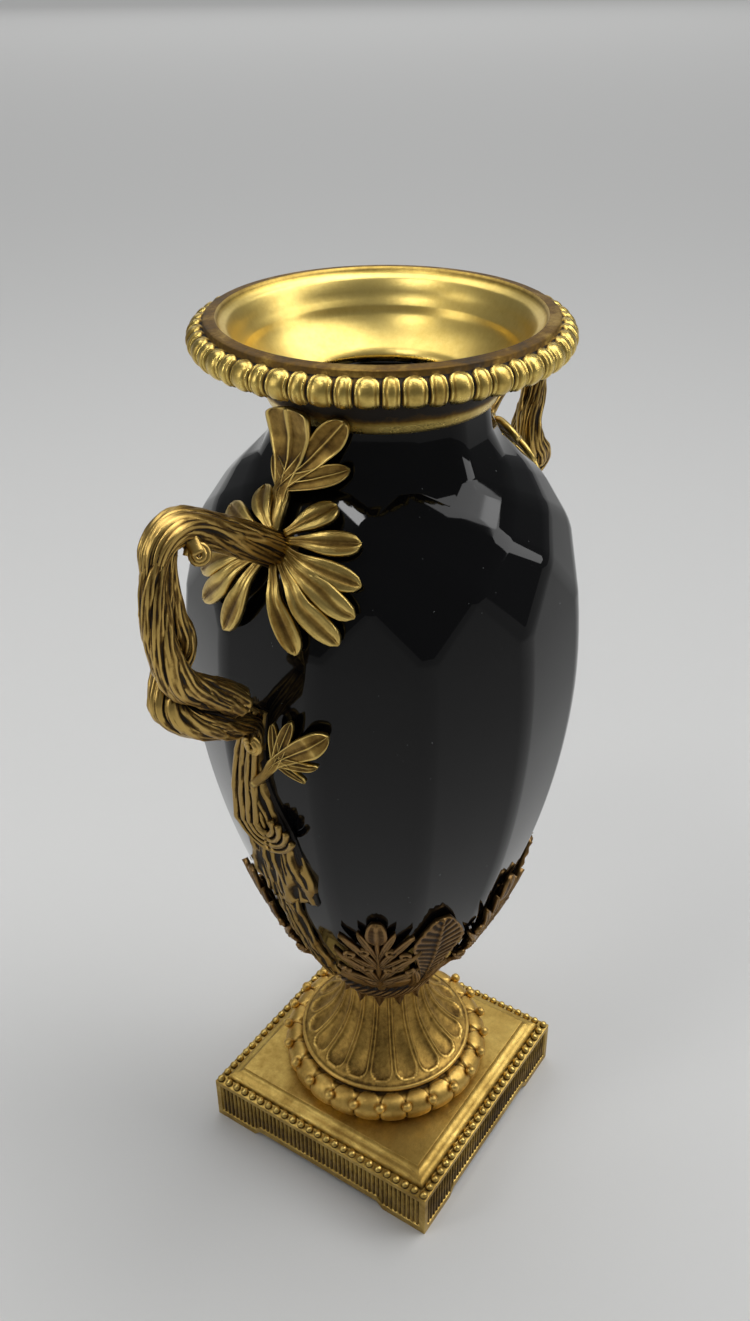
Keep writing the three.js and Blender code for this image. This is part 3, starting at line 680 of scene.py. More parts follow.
foot = {
    "baseRadius": 65, "torusMiddle": (63.4, 10.6), "torusReach": 10, "torusRise": 10.2, "torusRows": 18,
    "lobes": 24, "firstLobe": 7.5, "lobeReach": 71, "scaleHalf": 9.3, "scaleRise": 13.6,
    "ballAngle": 0.72, "ballMiddle": (72.0, 18.1), "ballRadius": 3.5,
    # plain ring between the scales and the flutes
    "ring": [[59.9, 21.2], [60.9, 22.4], [60.9, 23.6], [60.1, 24.6], [59.3, 24.7], [58.6, 24.6]],
    "flutes": 18, "firstFlute": 10, "fluteRim": 57, "fluteRise": 25.9, "neck": 27.3, "trumpet": 2.6,
    "fluteRows": 45, "fluteHalf": 0.468, "fluteEnd": 8.2, "fluteDepth": 1.9, "columns": 720,
}


def footProfile():
    # radius, height above the foot's base, and which pattern the row carries
    top = levels["footTop"] - levels["footBase"]
    centreR, centreZ = foot["torusMiddle"]
    rows = [(foot["baseRadius"], 0, "torus"), (68.6, 0.6, "torus")]
    for k in range(foot["torusRows"] + 1):
        angle = radians(mix(-62, 112, k / foot["torusRows"]))
        radius = centreR + foot["torusReach"] * cos(angle)
        rows.append((radius, centreZ + foot["torusRise"] * sin(angle), "torus"))
    rows += [(radius, z, "plain") for radius, z in foot["ring"]]
    for k in range(foot["fluteRows"] + 1):
        share = (k / foot["fluteRows"]) ** 1.15
        radius = mix(foot["fluteRim"], foot["neck"], 1 - (1 - share) ** foot["trumpet"])
        rows.append((radius, mix(foot["fluteRise"], top, share ** 1.12), "flute"))
    return rows


def fluteRelief(across, run, pitch):
    # spoon-shaped hollow outlined by a thin bead, round at its lower end
    half = pitch * foot["fluteHalf"]
    end = foot["fluteEnd"]
    if run < end:
        inside = half - hypot(across, (end - run) * half / end)
    else:
        inside = half - abs(across)
    bead = 0.85 * bump(inside - 0.75, 0.75)
    depth = min(foot["fluteDepth"], half * 0.3)
    share = clamp((inside - 1.4) / (half - 1.4))
    hollow = -depth * sqrt(1 - (1 - share) ** 2) if share > 0 else 0
    return bead + hollow


def torusRelief(offset, angle):
    # round-topped scales with a raised edge, and a pocket for a ball between each two
    half = foot["scaleHalf"]
    rise = (angle - foot["ballAngle"]) * foot["torusReach"]
    x = abs(offset) / half
    inside = half * (1 - hypot(x, max(rise, 0) / foot["scaleRise"]))
    share = clamp(inside / 3.4)
    crown = sqrt(1 - (1 - share) ** 2)
    edge = 0.7 * bump(inside - 1.0, 0.8) * smooth(rise / 3 + 0.3)
    pocket = 0.6 * smooth((5.2 - hypot((1 - x) * half, rise)) / 1.6)
    return 2.0 * (crown - 1) - 0.8 * x * x + edge - pocket


def makeFoot():
    profile = footProfile()
    base = levels["footBase"]
    runs = [0.0]
    for (r0, z0, _), (r1, z1, _) in zip(profile, profile[1:]):
        runs.append(runs[-1] + hypot(r1 - r0, z1 - z0))
    fluteStart = runs[[kind for _, _, kind in profile].index("flute")]
    azimuths = [i * 360 / foot["columns"] for i in range(foot["columns"])]
    rows = []
    for index, (radius, z, kind) in enumerate(profile):
        before = profile[max(index - 1, 0)]
        after = profile[min(index + 1, len(profile) - 1)]
        slope = Vector((after[0] - before[0], after[1] - before[1])).normalized()
        row = []
        for azimuth in azimuths:
            relief = 0.0
            if kind == "torus":
                offset = radians(wrap(azimuth - foot["firstLobe"], 360 / foot["lobes"])) * foot["lobeReach"]
                angle = atan2(z - foot["torusMiddle"][1], radius - foot["torusMiddle"][0])
                relief = torusRelief(offset, angle) * smooth((24 - z) / 6)
            elif kind == "flute":
                pitch = radians(360 / foot["flutes"]) * radius
                across = radians(wrap(azimuth - foot["firstFlute"], 360 / foot["flutes"])) * radius
                fade = smooth((levels["footTop"] - base - z) / 6)
                relief = fluteRelief(across, runs[index] - fluteStart, pitch) * fade
            row.append(polar(radius + slope.y * relief, azimuth, base + z - slope.x * relief))
        rows.append(row)
    shape = Shape()
    shape.addRows(rows)
    obj = shape.toObject("flutedFoot", footBronze)
    markRecess(obj, 9, 0.9)
    finishPiece(obj, "foot")


makeFoot()
print("foot made")


# geometry nodes for what repeats

def newTree(name, inputs):
    tree = bpy.data.node_groups.new(name, "GeometryNodeTree")
    tree.interface.new_socket("Geometry", in_out="OUTPUT", socket_type="NodeSocketGeometry")
    for label, kind, value in inputs:
        socket = tree.interface.new_socket(label, in_out="INPUT", socket_type=kind)
        if value is not None:
            socket.default_value = value
    start = tree.nodes.new("NodeGroupInput")
    end = tree.nodes.new("NodeGroupOutput")
    return tree, start, end


def closeTree(tree, start, end, geometry):
    realize = tree.nodes.new("GeometryNodeRealizeInstances")
    paint = tree.nodes.new("GeometryNodeSetMaterial")
    smoothNode = tree.nodes.new("GeometryNodeSetShadeSmooth")
    tree.links.new(geometry, realize.inputs[0])
    tree.links.new(realize.outputs[0], smoothNode.inputs[0])
    tree.links.new(smoothNode.outputs[0], paint.inputs["Geometry"])
    tree.links.new(start.outputs["Material"], paint.inputs["Material"])
    tree.links.new(paint.outputs[0], end.inputs[0])


def growTree(tree, name, values):
    # run a tree on an empty mesh and keep the result as a plain mesh
    holder = bpy.data.objects.new(name + "Holder", bpy.data.meshes.new(name + "Holder"))
    bpy.context.scene.collection.objects.link(holder)
    modifier = holder.modifiers.new("grow", "NODES")
    modifier.node_group = tree
    for item in tree.interface.items_tree:
        if item.in_out == "INPUT" and item.name in values:
            modifier[item.identifier] = values[item.name]
    holder.update_tag()
    bpy.context.view_layer.update()
    depsgraph = bpy.context.evaluated_depsgraph_get()
    mesh = bpy.data.meshes.new_from_object(holder.evaluated_get(depsgraph))
    mesh.name = name
    bpy.data.objects.remove(holder)
    obj = bpy.data.objects.new(name, mesh)
    bpy.context.scene.collection.objects.link(obj)
    return obj


def mathStep(tree, operation, a, b=0.0):
    return mathNode(tree.nodes, tree.links, operation, a, b)


def vectorOf(tree, x, y, z):
    node = tree.nodes.new("ShaderNodeCombineXYZ")
    feed(tree.links, node.inputs, (x, y, z))
    return node.outputs[0]


def beadRowTree():
    # beads around a square, one on each corner
    tree, start, end = newTree("beadRow", [
        ("Side", "NodeSocketFloat", 0.17), ("Level", "NodeSocketFloat", 0.036),
        ("Count", "NodeSocketInt", 96), ("Diameter", "NodeSocketFloat", 0.0056),
        ("Material", "NodeSocketMaterial", None),
    ])
    square = tree.nodes.new("GeometryNodeCurvePrimitiveQuadrilateral")
    tree.links.new(start.outputs["Side"], square.inputs["Width"])
    tree.links.new(start.outputs["Side"], square.inputs["Height"])
    sample = tree.nodes.new("GeometryNodeResampleCurve")
    tree.links.new(square.outputs[0], sample.inputs["Curve"])
    tree.links.new(start.outputs["Count"], sample.inputs["Count"])
    raised = tree.nodes.new("GeometryNodeTransform")
    tree.links.new(sample.outputs[0], raised.inputs["Geometry"])
    tree.links.new(vectorOf(tree, 0, 0, start.outputs["Level"]), raised.inputs["Translation"])
    ball = tree.nodes.new("GeometryNodeMeshUVSphere")
    ball.inputs["Segments"].default_value = 14
    ball.inputs["Rings"].default_value = 9
    tree.links.new(mathStep(tree, "MULTIPLY", start.outputs["Diameter"], 0.5), ball.inputs["Radius"])
    place = tree.nodes.new("GeometryNodeInstanceOnPoints")
    tree.links.new(raised.outputs[0], place.inputs["Points"])
    tree.links.new(ball.outputs[0], place.inputs["Instance"])
    closeTree(tree, start, end, place.outputs[0])
    return tree


def reedFriezeTree():
    # upright reeds on four sides, longer over the corner feet than over the openings
    tree, start, end = newTree("reedFrieze", [
        ("Face", "NodeSocketFloat", 0.089), ("Half", "NodeSocketFloat", 0.083),
        ("Count", "NodeSocketInt", 48), ("Width", "NodeSocketFloat", 0.0022),
        ("Top", "NodeSocketFloat", 0.0315), ("Low", "NodeSocketFloat", 0.0105),
        ("FootLow", "NodeSocketFloat", 0.0055),
        ("Gate", "NodeSocketFloat", 0.0535), ("Material", "NodeSocketMaterial", None),
    ])
    line = tree.nodes.new("GeometryNodeMeshLine")
    line.mode = "END_POINTS"
    half = start.outputs["Half"]
    first = vectorOf(tree, mathStep(tree, "MULTIPLY", half, -1.0), start.outputs["Face"], 0)
    last = vectorOf(tree, half, start.outputs["Face"], 0)
    tree.links.new(start.outputs["Count"], line.inputs["Count"])
    tree.links.new(first, line.inputs["Start Location"])
    tree.links.new(last, line.inputs["Offset"])
    position = tree.nodes.new("GeometryNodeInputPosition")
    parts = tree.nodes.new("ShaderNodeSeparateXYZ")
    tree.links.new(position.outputs[0], parts.inputs[0])
    offset = mathStep(tree, "ABSOLUTE", parts.outputs[0])
    isFoot = mathStep(tree, "GREATER_THAN", offset, start.outputs["Gate"])
    drop = mathStep(tree, "SUBTRACT", start.outputs["FootLow"], start.outputs["Low"])
    low = mathStep(tree, "ADD", start.outputs["Low"], mathStep(tree, "MULTIPLY", isFoot, drop))
    height = mathStep(tree, "SUBTRACT", start.outputs["Top"], low)
    centre = mathStep(tree, "MULTIPLY", mathStep(tree, "ADD", start.outputs["Top"], low), 0.5)
    settle = tree.nodes.new("GeometryNodeSetPosition")
    tree.links.new(line.outputs[0], settle.inputs["Geometry"])
    tree.links.new(vectorOf(tree, 0, 0, centre), settle.inputs["Offset"])
    reed = tree.nodes.new("GeometryNodeMeshCylinder")
    reed.inputs["Vertices"].default_value = 10
    reed.inputs["Depth"].default_value = 1.0
    tree.links.new(mathStep(tree, "MULTIPLY", start.outputs["Width"], 0.5), reed.inputs["Radius"])
    place = tree.nodes.new("GeometryNodeInstanceOnPoints")
    tree.links.new(settle.outputs[0], place.inputs["Points"])
    tree.links.new(reed.outputs[0], place.inputs["Instance"])
    tree.links.new(vectorOf(tree, 1, 1, height), place.inputs["Scale"])
    sides = tree.nodes.new("GeometryNodeMeshLine")
    sides.inputs["Count"].default_value = 4
    sides.inputs["Offset"].default_value = (0, 0, 0)
    index = tree.nodes.new("GeometryNodeInputIndex")
    turn = vectorOf(tree, 0, 0, mathStep(tree, "MULTIPLY", index.outputs[0], pi / 2))
    around = tree.nodes.new("GeometryNodeInstanceOnPoints")
    tree.links.new(sides.outputs[0], around.inputs["Points"])
    tree.links.new(place.outputs[0], around.inputs["Instance"])
    tree.links.new(turn, around.inputs["Rotation"])
    closeTree(tree, start, end, around.outputs[0])
    return tree


def ringTree():
    # copies of a small cast piece on a circle, all facing outwards
    tree, start, end = newTree("castRing", [
        ("Piece", "NodeSocketObject", None), ("Count", "NodeSocketInt", 24),
        ("FirstTurn", "NodeSocketFloat", 0.0), ("Material", "NodeSocketMaterial", None),
    ])
    info = tree.nodes.new("GeometryNodeObjectInfo")
    tree.links.new(start.outputs["Piece"], info.inputs["Object"])
    points = tree.nodes.new("GeometryNodeMeshLine")
    points.inputs["Offset"].default_value = (0, 0, 0)
    tree.links.new(start.outputs["Count"], points.inputs["Count"])
    index = tree.nodes.new("GeometryNodeInputIndex")
    share = mathStep(tree, "DIVIDE", index.outputs[0], start.outputs["Count"])
    around = mathStep(tree, "MULTIPLY", share, 2 * pi)
    turn = vectorOf(tree, 0, 0, mathStep(tree, "ADD", around, start.outputs["FirstTurn"]))
    place = tree.nodes.new("GeometryNodeInstanceOnPoints")
    tree.links.new(points.outputs[0], place.inputs["Points"])
    tree.links.new(info.outputs["Geometry"], place.inputs["Instance"])
    tree.links.new(turn, place.inputs["Rotation"])
    closeTree(tree, start, end, place.outputs[0])
    return tree


castRing = ringTree()


def ringOf(name, shape, count, firstTurn, material):
    seed = shape.toObject(name + "Seed", material)
    obj = growTree(castRing, name, {
        "Piece": seed, "Count": count, "FirstTurn": radians(firstTurn), "Material": material,
    })
    bpy.data.objects.remove(seed)
    return obj


def ballRows(centre, radius, columns=12, rings=8):
    rows = []
    for k in range(1, rings):
        angle = radians(mix(-90, 90, k / rings))
        rows.append([centre + Vector((radius * cos(angle) * cos(2 * pi * i / columns),
                                      radius * cos(angle) * sin(2 * pi * i / columns),
                                      radius * sin(angle))) for i in range(columns)])
    return rows


def makeFootBalls():
    radius, rise = foot["ballMiddle"]
    ball = Shape()
    ball.addRows(ballRows(Vector((radius, 0, levels["footBase"] + rise)), foot["ballRadius"]))
    balls = ringOf("footBalls", ball, foot["lobes"], 0, footBronze)
    markRecess(balls, 2, 0.4)
    finishPiece(balls, "foot")


makeFootBalls()
print("foot balls made")


# plinth

plinth = {
    "half": 90, "faceHeight": 35.5, "wall": 7, "gate": 56, "gateTop": 51, "gateRise": 5,
    "friezeBand": 5, "friezeTop": 32, "friezeEnd": 86, "friezeDepth": 1.2, "ledge": 83.8,
    "platform": 74.7, "top": 44.4, "beadHalf": 86.8, "beadDiameter": 5.6, "beads": 96,
    "beadRise": 1.1, "reeds": 48, "reedWidth": 2.1, "reedMargin": 0.6, "edge": 0.5, "ovoloShare": 0.45,
}


def gateHeight(x):
    return plinth["gateRise"] * clamp((plinth["gate"] - abs(x)) / (plinth["gate"] - plinth["gateTop"]))


def plinthRow(half, levelAt, depthAt=None):
    # one anticlockwise ring round the square, with columns where the openings and the frieze turn
    edge = plinth["edge"]
    marks = [plinth["gateTop"], plinth["gate"], plinth["friezeEnd"] - edge, plinth["friezeEnd"]]
    columns = [-m for m in reversed(marks)] + [-25, 0, 25] + marks
    ring = []
    for side in range(4):
        turn = Matrix.Rotation(side * pi / 2, 3, "Z")
        for x in [-plinth["half"]] + columns:
            depth = depthAt(x) if depthAt else 0
            ring.append(turn @ Vector((half - depth, x * half / plinth["half"], levelAt(x))))
    return ring


def makePlinth():
    p = plinth
    edge = p["edge"]
    inner = p["half"] - p["wall"]
    ceiling = p["faceHeight"] - p["wall"]

    def sunk(x):
        return p["friezeDepth"] if abs(x) <= p["friezeEnd"] - edge else 0

    def band(x):
        return gateHeight(x) + p["friezeBand"]

    rows = [
        plinthRow(inner, lambda x: ceiling),
        plinthRow(inner, gateHeight),
        plinthRow(p["half"], gateHeight),
        plinthRow(p["half"], band),
        plinthRow(p["half"], lambda x: band(x) + edge, sunk),
        plinthRow(p["half"], lambda x: p["friezeTop"] - edge, sunk),
        plinthRow(p["half"], lambda x: p["friezeTop"]),
        plinthRow(p["half"], lambda x: p["faceHeight"]),
    ]
    width = p["ledge"] - p["platform"]
    rise = p["top"] - p["faceHeight"]
    lower = p["ovoloShare"]
    upper = 1 - lower
    profile = [(p["half"] - 1.6, p["faceHeight"] + 0.35), (p["ledge"] + 0.4, p["faceHeight"] + 0.35)]
    for k in range(9):
        turn = k / 8 * pi / 2
        lift = 0.4 + (rise * upper - 0.4) * sin(turn)
        profile.append((p["ledge"] - width * lower * (1 - cos(turn)), p["faceHeight"] + lift))
    for k in range(1, 9):
        turn = k / 8 * pi / 2
        profile.append((p["platform"] + width * upper * (1 - sin(turn)), p["top"] - rise * lower * cos(turn)))
    profile += [(p["platform"] - 3, p["top"]), (60, p["top"]), (30, p["top"])]
    rows += [plinthRow(half, lambda x, z=z: z) for half, z in profile]
    shape = Shape()
    shape.addRows(rows)
    obj = shape.toObject("plinthBlock", plinthBronze)
    bevel = obj.modifiers.new("edges", "BEVEL")
    bevel.width = 0.45 * metre
    bevel.segments = 2
    bevel.limit_method = "ANGLE"
    bevel.angle_limit = radians(38)
    normals = obj.modifiers.new("normals", "WEIGHTED_NORMAL")
    normals.keep_sharp = False
    finishPiece(obj, "plinth")
    addFlatRecess(obj, 0.42)


def makeBeads():
    p = plinth
    beads = growTree(beadRowTree(), "plinthBeads", {
        "Side": 2 * p["beadHalf"] * metre, "Level": (p["faceHeight"] + p["beadRise"]) * metre,
        "Count": p["beads"], "Diameter": p["beadDiameter"] * metre, "Material": plinthBronze,
    })
    # the beads darken towards their lower halves
    addFlatRecess(beads, 0.3, lambda place: clamp((p["faceHeight"] + 2.6 - place.z / metre) / 3.2))
    finishPiece(beads, "plinth")


def makeReeds():
    p = plinth
    low = p["friezeBand"] + p["reedMargin"]
    reeds = growTree(reedFriezeTree(), "friezeReeds", {
        "Face": (p["half"] - p["friezeDepth"]) * metre, "Half": (p["friezeEnd"] - 2.6) * metre,
        "Count": p["reeds"], "Width": p["reedWidth"] * metre, "Material": plinthBronze,
        "Top": (p["friezeTop"] - p["reedMargin"]) * metre, "Low": (p["gateRise"] + low) * metre,
        "FootLow": low * metre, "Gate": (p["gateTop"] + 2.5) * metre,
    })

    # the reeds darken the deeper they stand in the sunk frieze
    def sunkShare(place):
        return 0.6 * clamp((p["half"] - max(abs(place.x), abs(place.y)) / metre) / 1.6)

    addFlatRecess(reeds, 0.5, sunkShare)
    finishPiece(reeds, "plinth")


def addFlatRecess(obj, level, extra=None):
    # recess level by place, for pieces with large flat faces; the bronze darkens with it
    attribute = obj.data.attributes.new("recess", "FLOAT", "POINT")
    for vertex, item in zip(obj.data.vertices, attribute.data):
        item.value = level + (extra(vertex.co) * (1 - level) if extra else 0)


makePlinth()
makeBeads()
makeReeds()
print("plinth made")


# calyx

calyx = {
    "bandRadius": 41, "bandFlare": 6, "bandHeight": 14.4, "bandRidges": 44, "bandSlant": 14, "teeth": 14,
    "toothLength": 10.5, "toothHalf": 5.3, "toothReach": (32.0, 30.0), "cup": 22, "socket": 28.3,
    # side fingers of half an acanthus leaf: turn, level, root level, half width
    "fingers": [[7.2, 247.6, 209, 2.2], [14.2, 244.8, 194, 2.3], [9.6, 231, 196, 1.7], [18.6, 224, 176, 2.1],
                [13.4, 209, 180, 1.7], [20.5, 199, 164, 2.0], [13, 188, 162, 1.6]],
    # curled tips between them: turn, level, size
    "curls": [[5.4, 225, 4.0], [11.6, 221, 3.6], [9.0, 203, 3.4], [15.5, 197, 3.0], [4.8, 199, 3.0]],
    "head": 6.8, "headLevels": (234, 256.8), "stemTop": 244, "rootRise": 11, "bandTop": 4,
    # how many acanthus leaves, and the azimuths of the fans between them
    "leaves": 6, "fans": [60, 120, 240, 300],
    # half width of a ribbed fan leaf along its length
    "fanStem": 2.3, "fanLow": 2.6, "fanWide": 17, "fanTip": 5, "fanTop": 257,
}


def addBand(shape, bandFoot):
    # slanted rope band and the cup above it, hollow round the neck of the foot
    base = levels["bodyBase"]
    columns = 16 * calyx["bandRidges"]
    rows = []
    for k in range(13):
        share = k / 12
        bulge = sin(share * pi)
        row = []
        for i in range(columns):
            azimuth = i * 360 / columns
            lean = share * calyx["bandSlant"] * 1.6
            ridge = abs(sin(radians((azimuth - lean) * calyx["bandRidges"] / 2))) ** 0.6
            radius = calyx["bandRadius"] - (1 - share) * calyx["bandFlare"] - 3.6
            radius += bulge * 1.4 + 2.4 * ridge
            row.append(polar(radius, azimuth, bandFoot + share * calyx["bandHeight"]))
        rows.append(row)
    cupTop = base + calyx["cup"]
    lifts = ((7, 2.0), (13, 1.4), (22, 1.0), (30, 0.6))
    cup = [(bellyRadius(base + h) + lift, base + h) for h, lift in lifts]
    inner = [(bellyRadius(cupTop) + 0.8, cupTop + 9), (bellyRadius(cupTop) - 5, cupTop), (36, base + 6),
             (32.4, base - 0.3), (calyx["socket"], base - 0.3), (calyx["socket"], bandFoot)]
    for radius, z in cup + inner:
        rows.append([polar(radius, i * 360 / columns, z) for i in range(columns)])
    shape.addRows(rows, isLoop=True)


def leafRelief(u, t):
    rib = 0.8 * bump(u, 0.3)
    edge = 0.5 * bump(abs(u) - 0.86, 0.2)
    return 0.9 + 0.5 * (1 - u * u) + rib + edge + 0.15 * sin(t * 40)


def headHalf(t):
    return calyx["head"] * sqrt(max(1 - (1.9 * (t - 0.52)) ** 2, 0.03))


def addFinger(shape, azimuth, tipTurn, tipLevel, rootLevel, half, rootTurn):
    # curved finger that leaves the stem upwards and bends outwards
    path = []
    for i in range(15):
        t = i / 14
        turn = mix(rootTurn, tipTurn, t ** 1.25)
        path.append((azimuth + turn, mix(rootLevel, tipLevel, t ** 0.9), 1.8 + 2.4 * sin(t * pi * 0.8)))

    def width(t):
        return half * mix(0.45, 1, smooth(t * 1.5)) * tipRound(t, 0.7)

    addBlade(shape, path, width, leafRelief, 1.8)


def addAcanthus(shape, middle, root):
    # openwork leaf: a stem with a head, and fingers and curls on both sides
    stem = [(middle, mix(root, calyx["stemTop"], i / 15), 2.4) for i in range(16)]
    addBlade(shape, stem, lambda t: mix(2.9, 1.9, t), roundRelief(1.8), 2.4, 6)
    head = [(middle, mix(*calyx["headLevels"], i / 13), 2.8 + 1.4 * sin(i / 13 * pi)) for i in range(14)]
    addBlade(shape, head, headHalf, leafRelief, 1.8, 12)
    for side in (-1, 1):
        for tipTurn, tipLevel, rootLevel, half in calyx["fingers"]:
            addFinger(shape, middle, side * tipTurn, tipLevel, rootLevel, half, side * 0.4)
        for turn, level, size in calyx["curls"]:
            curl = []
            for i in range(22):
                angle = radians(-90 + i * 22)
                reach = size * (1 - 0.035 * i)
                wide = degrees(reach * cos(angle) / smoothRadius(middle, level))
                curl.append((middle + side * (turn + wide), level + reach * sin(angle), 3.8 + 0.07 * i))
            addBlade(shape, curl, lambda t: 1.35, roundRelief(1.4), 1.4, 4)
            addFinger(shape, middle, side * turn, level - size * 0.9, level - 24, 1.7, side * 0.4)


def fanRelief(u, t):
    # raised midrib with close ribs that rise from it to both edges
    rib = 1.1 * bump(u, 0.1)
    herring = 0.5 * sin(t * 104 - abs(u) * 9) * smooth((t - 0.2) * 6)
    return 1.2 + rib + herring + 0.5 * bump(abs(u) - 0.94, 0.06)


def fanHalf(t):
    if t < 0.27:
        return calyx["fanStem"]
    if t < 0.74:
        return mix(calyx["fanLow"], calyx["fanWide"], (t - 0.27) / 0.47)
    return mix(calyx["fanWide"], calyx["fanTip"], ((t - 0.74) / 0.26) ** 1.6)


def addFan(shape, centre, root):
    # ribbed fan leaf with a finger on each side of its stalk
    shares = [i / 90 for i in range(91)]
    path = [(centre + mix(-2.6, -5.0, t), mix(root, calyx["fanTop"], t), 2.6 + 1.4 * t) for t in shares]
    addBlade(shape, path, fanHalf, fanRelief, 1.8, 26)
    for side in (-1, 1):
        addFinger(shape, centre - 3, side * 9, 196, root, 2.6, side * 1.5)


def makeCalyx():
    bandFoot = levels["bodyBase"] + calyx["bandTop"] - calyx["bandHeight"]
    root = levels["bodyBase"] + calyx["rootRise"]
    shape = Shape()
    addBand(shape, bandFoot)
    for k in range(calyx["leaves"]):
        addAcanthus(shape, (k + 0.5) * 360 / calyx["leaves"], root)
    for centre in calyx["fans"]:
        addFan(shape, centre, root)
    obj = shape.toObject("leafCalyx", calyxBronze)
    markRecess(obj, 10, 1.0)
    markCreviceDirtAndShade(obj, 5, 0.5)
    finishPiece(obj, "calyx")
    makeTeeth(bandFoot)


def makeTeeth(bandFoot):
    tooth = Shape()
    rows = []
    for i in range(8):
        t = i / 7
        z = bandFoot + 2 - t * (calyx["toothLength"] + 1.5)
        radius = mix(*calyx["toothReach"], t) + 1.6 * t ** 3
        half = calyx["toothHalf"] * (1 - t) ** 0.8 + 0.35
        front = [Vector((radius + 1.5 - abs(u) * 1.5, -u * half, z)) for u in (-1, -0.5, 0, 0.5, 1)]
        rear = [Vector((radius - 1.6, -u * half, z)) for u in (1, 0, -1)]
        rows.append(front + rear)
    tooth.addRows(rows)
    teeth = ringOf("calyxTeeth", tooth, calyx["teeth"], 0, calyxBronze)
    markRecess(teeth, 2, 1.2)
    finishPiece(teeth, "calyx")


makeCalyx()
print("calyx made")


# handles, made on the -X side and turned for the other one

handle = {
    "azimuth": 180,
    # routes of the three branches: reach past the belly, depth under the lip, sideways
    "trunk": [[-34, 62, 0], [-17.4, 50.1, 0], [3.2, 37, 0], [20.7, 26, 0], [37, 16, 0], [52, 11.5, 0],
              [63, 17, 0], [68, 31, -1], [70, 44, -3], [70.4, 54, -4]],
    "outer": [[55, 13, 0], [62.5, 18, -1], [68.6, 31, -2], [70.4, 46, -3], [70.6, 58, -4], [67.6, 72, -5],
              [61.4, 85, -6], [49, 96, -5], [34, 107, -4], [21, 118, -3]],
    "inner": [[53, 13, 1], [58, 22, 2], [58, 36, 3], [55, 54, 4], [49, 68, 5], [48, 80, 8], [56, 90, 9],
              [62, 100, 5], [55, 111, 1], [41, 121, -1], [22, 134, 1], [4, 146, 5], [-3, 160, 9],
              [-4, 172, 10]],
    "twig": [[47, 8, -1], [46, 17, -5], [47, 23, -10]],
    # bark straps down the body: turn, share of the body's height, half width
    "wideStrap": [[-4, 0.66, 9], [-6, 0.59, 10], [-7, 0.54, 10.5], [-5, 0.48, 14], [-4, 0.42, 20],
                  [-4, 0.36, 23.5], [-3.8, 0.305, 23.5]],
    "wideBark": {"waves": 15, "ridges": 8, "depth": 4.2},
    "lowStrap": [[-6, 0.335, 10], [-6, 0.26, 8.5], [-6, 0.18, 7.5], [-5.5, 0.11, 6.5], [-4, 0.068, 5.5]],
    "lowBark": {"waves": 17, "ridges": 5, "depth": 2.8},
    "hookLevel": 0.475, "hookLanes": 4, "hookPitch": 3.9, "hookRadius": 2.05,
    # leaflets of the spray: sideways and upward reach of the tip
    "spray": [[26, 17], [42, 4], [43, -12], [41, -24], [35, -38], [18, -46]],
    # stem of the plume, then each of its fingers: tip turn, tip level, half width, how blunt the tip is
    "plumeStem": [[-2, 494], [-4.5, 512], [-7, 521]],
    "plume": [[-11, 559, 15.5, 0.93], [18, 558, 8.2, 0.8], [20, 534, 5.6, 0.8], [-17, 533, 4.6, 0.72]],
    "plumeReach": [[490, 101], [494, 98], [512, 83.5], [521, 76], [533, 69.5], [545, 66.5], [560, 67]],
    "sprigStem": [[-3, 364], [1.5, 375], [4.5, 384]],
    "sprig": [[19.6, 409, 7.4, 0.78], [10, 413, 3.8, 0.75], [4.4, 408, 3.2, 0.7], [17, 390, 3.4, 0.72],
              [13.6, 378.5, 2.9, 0.7]],
    "leafHalf": 6.6,
}


def routePoint(reach, depth, sideways):
    return Vector((-(body["radius"] + reach), sideways, levels["lip"] - depth))


def framesOf(points):
    frames = []
    for i, point in enumerate(points):
        tangent = (points[min(i + 1, len(points) - 1)] - points[max(i - 1, 0)]).normalized()
        up = tangent.cross(Vector((0, 1, 0))).normalized()
        across = up.cross(tangent).normalized()
        frames.append((point, across, up))
    return frames


def addTube(shape, centres, radii, sides, ridges, seed):
    # tube with lengthwise bark ridges that wander
    rows = []
    for i, ((point, across, up), radius) in enumerate(zip(framesOf(centres), radii)):
        row = []
        for k in range(sides):
            angle = 2 * pi * k / sides
            spot = Vector((cos(angle) * ridges * 0.34, sin(angle) * ridges * 0.34 + seed * 4.7, i * 0.055))
            hollow = min(abs(noise.noise(spot)) * 3.4, 1)
            fine = abs(sin(ridges * angle + 2.2 * noise.noise(Vector((i * 0.05, seed * 3.1, 0.5))))) ** 0.7
            r = radius * (1.04 - 0.24 * hollow + 0.13 * fine)
            row.append(point + across * (r * cos(angle)) + up * (r * sin(angle)))
        rows.append(row)
    shape.addRows(rows)


def addTwist(shape, route, radiusAt, strands, turns, steps, seed):
    # several bark strands wound around one route
    frames = framesOf(spline([routePoint(*p) for p in route], steps))
    for s in range(strands):
        centres = []
        radii = []
        for i, (point, across, up) in enumerate(frames):
            t = i / steps
            whole = radiusAt(t)
            angle = 2 * pi * (s / strands + turns * t) + 0.5 * noise.noise(Vector((t * 3, s * 1.7, seed)))
            swell = 1 + 0.22 * noise.noise(Vector((t * 5, s * 2.3, seed + 7)))
            centres.append(point + (across * cos(angle) + up * sin(angle)) * whole * 0.6)
            radii.append(whole * 0.42 * swell)
        addTube(shape, centres, radii, 26, 4, seed + s)
    core = [point for point, _, _ in frames]
    addTube(shape, core, [radiusAt(i / steps) * 0.55 for i in range(steps + 1)], 12, 2, seed)


def leafletRelief(u, t):
    # oval leaflet: full on both sides of a creased midrib, with a fine raised edge
    swell = 1.7 * (1 - abs(2 * abs(u) - 1) ** 2.2) * smooth(t * 2.2)
    crease = 0.8 * bump(u, 0.1)
    edge = 0.8 * bump(abs(u) - 0.9, 0.12) * smooth(t * 3)
    return 0.8 + swell + crease + edge


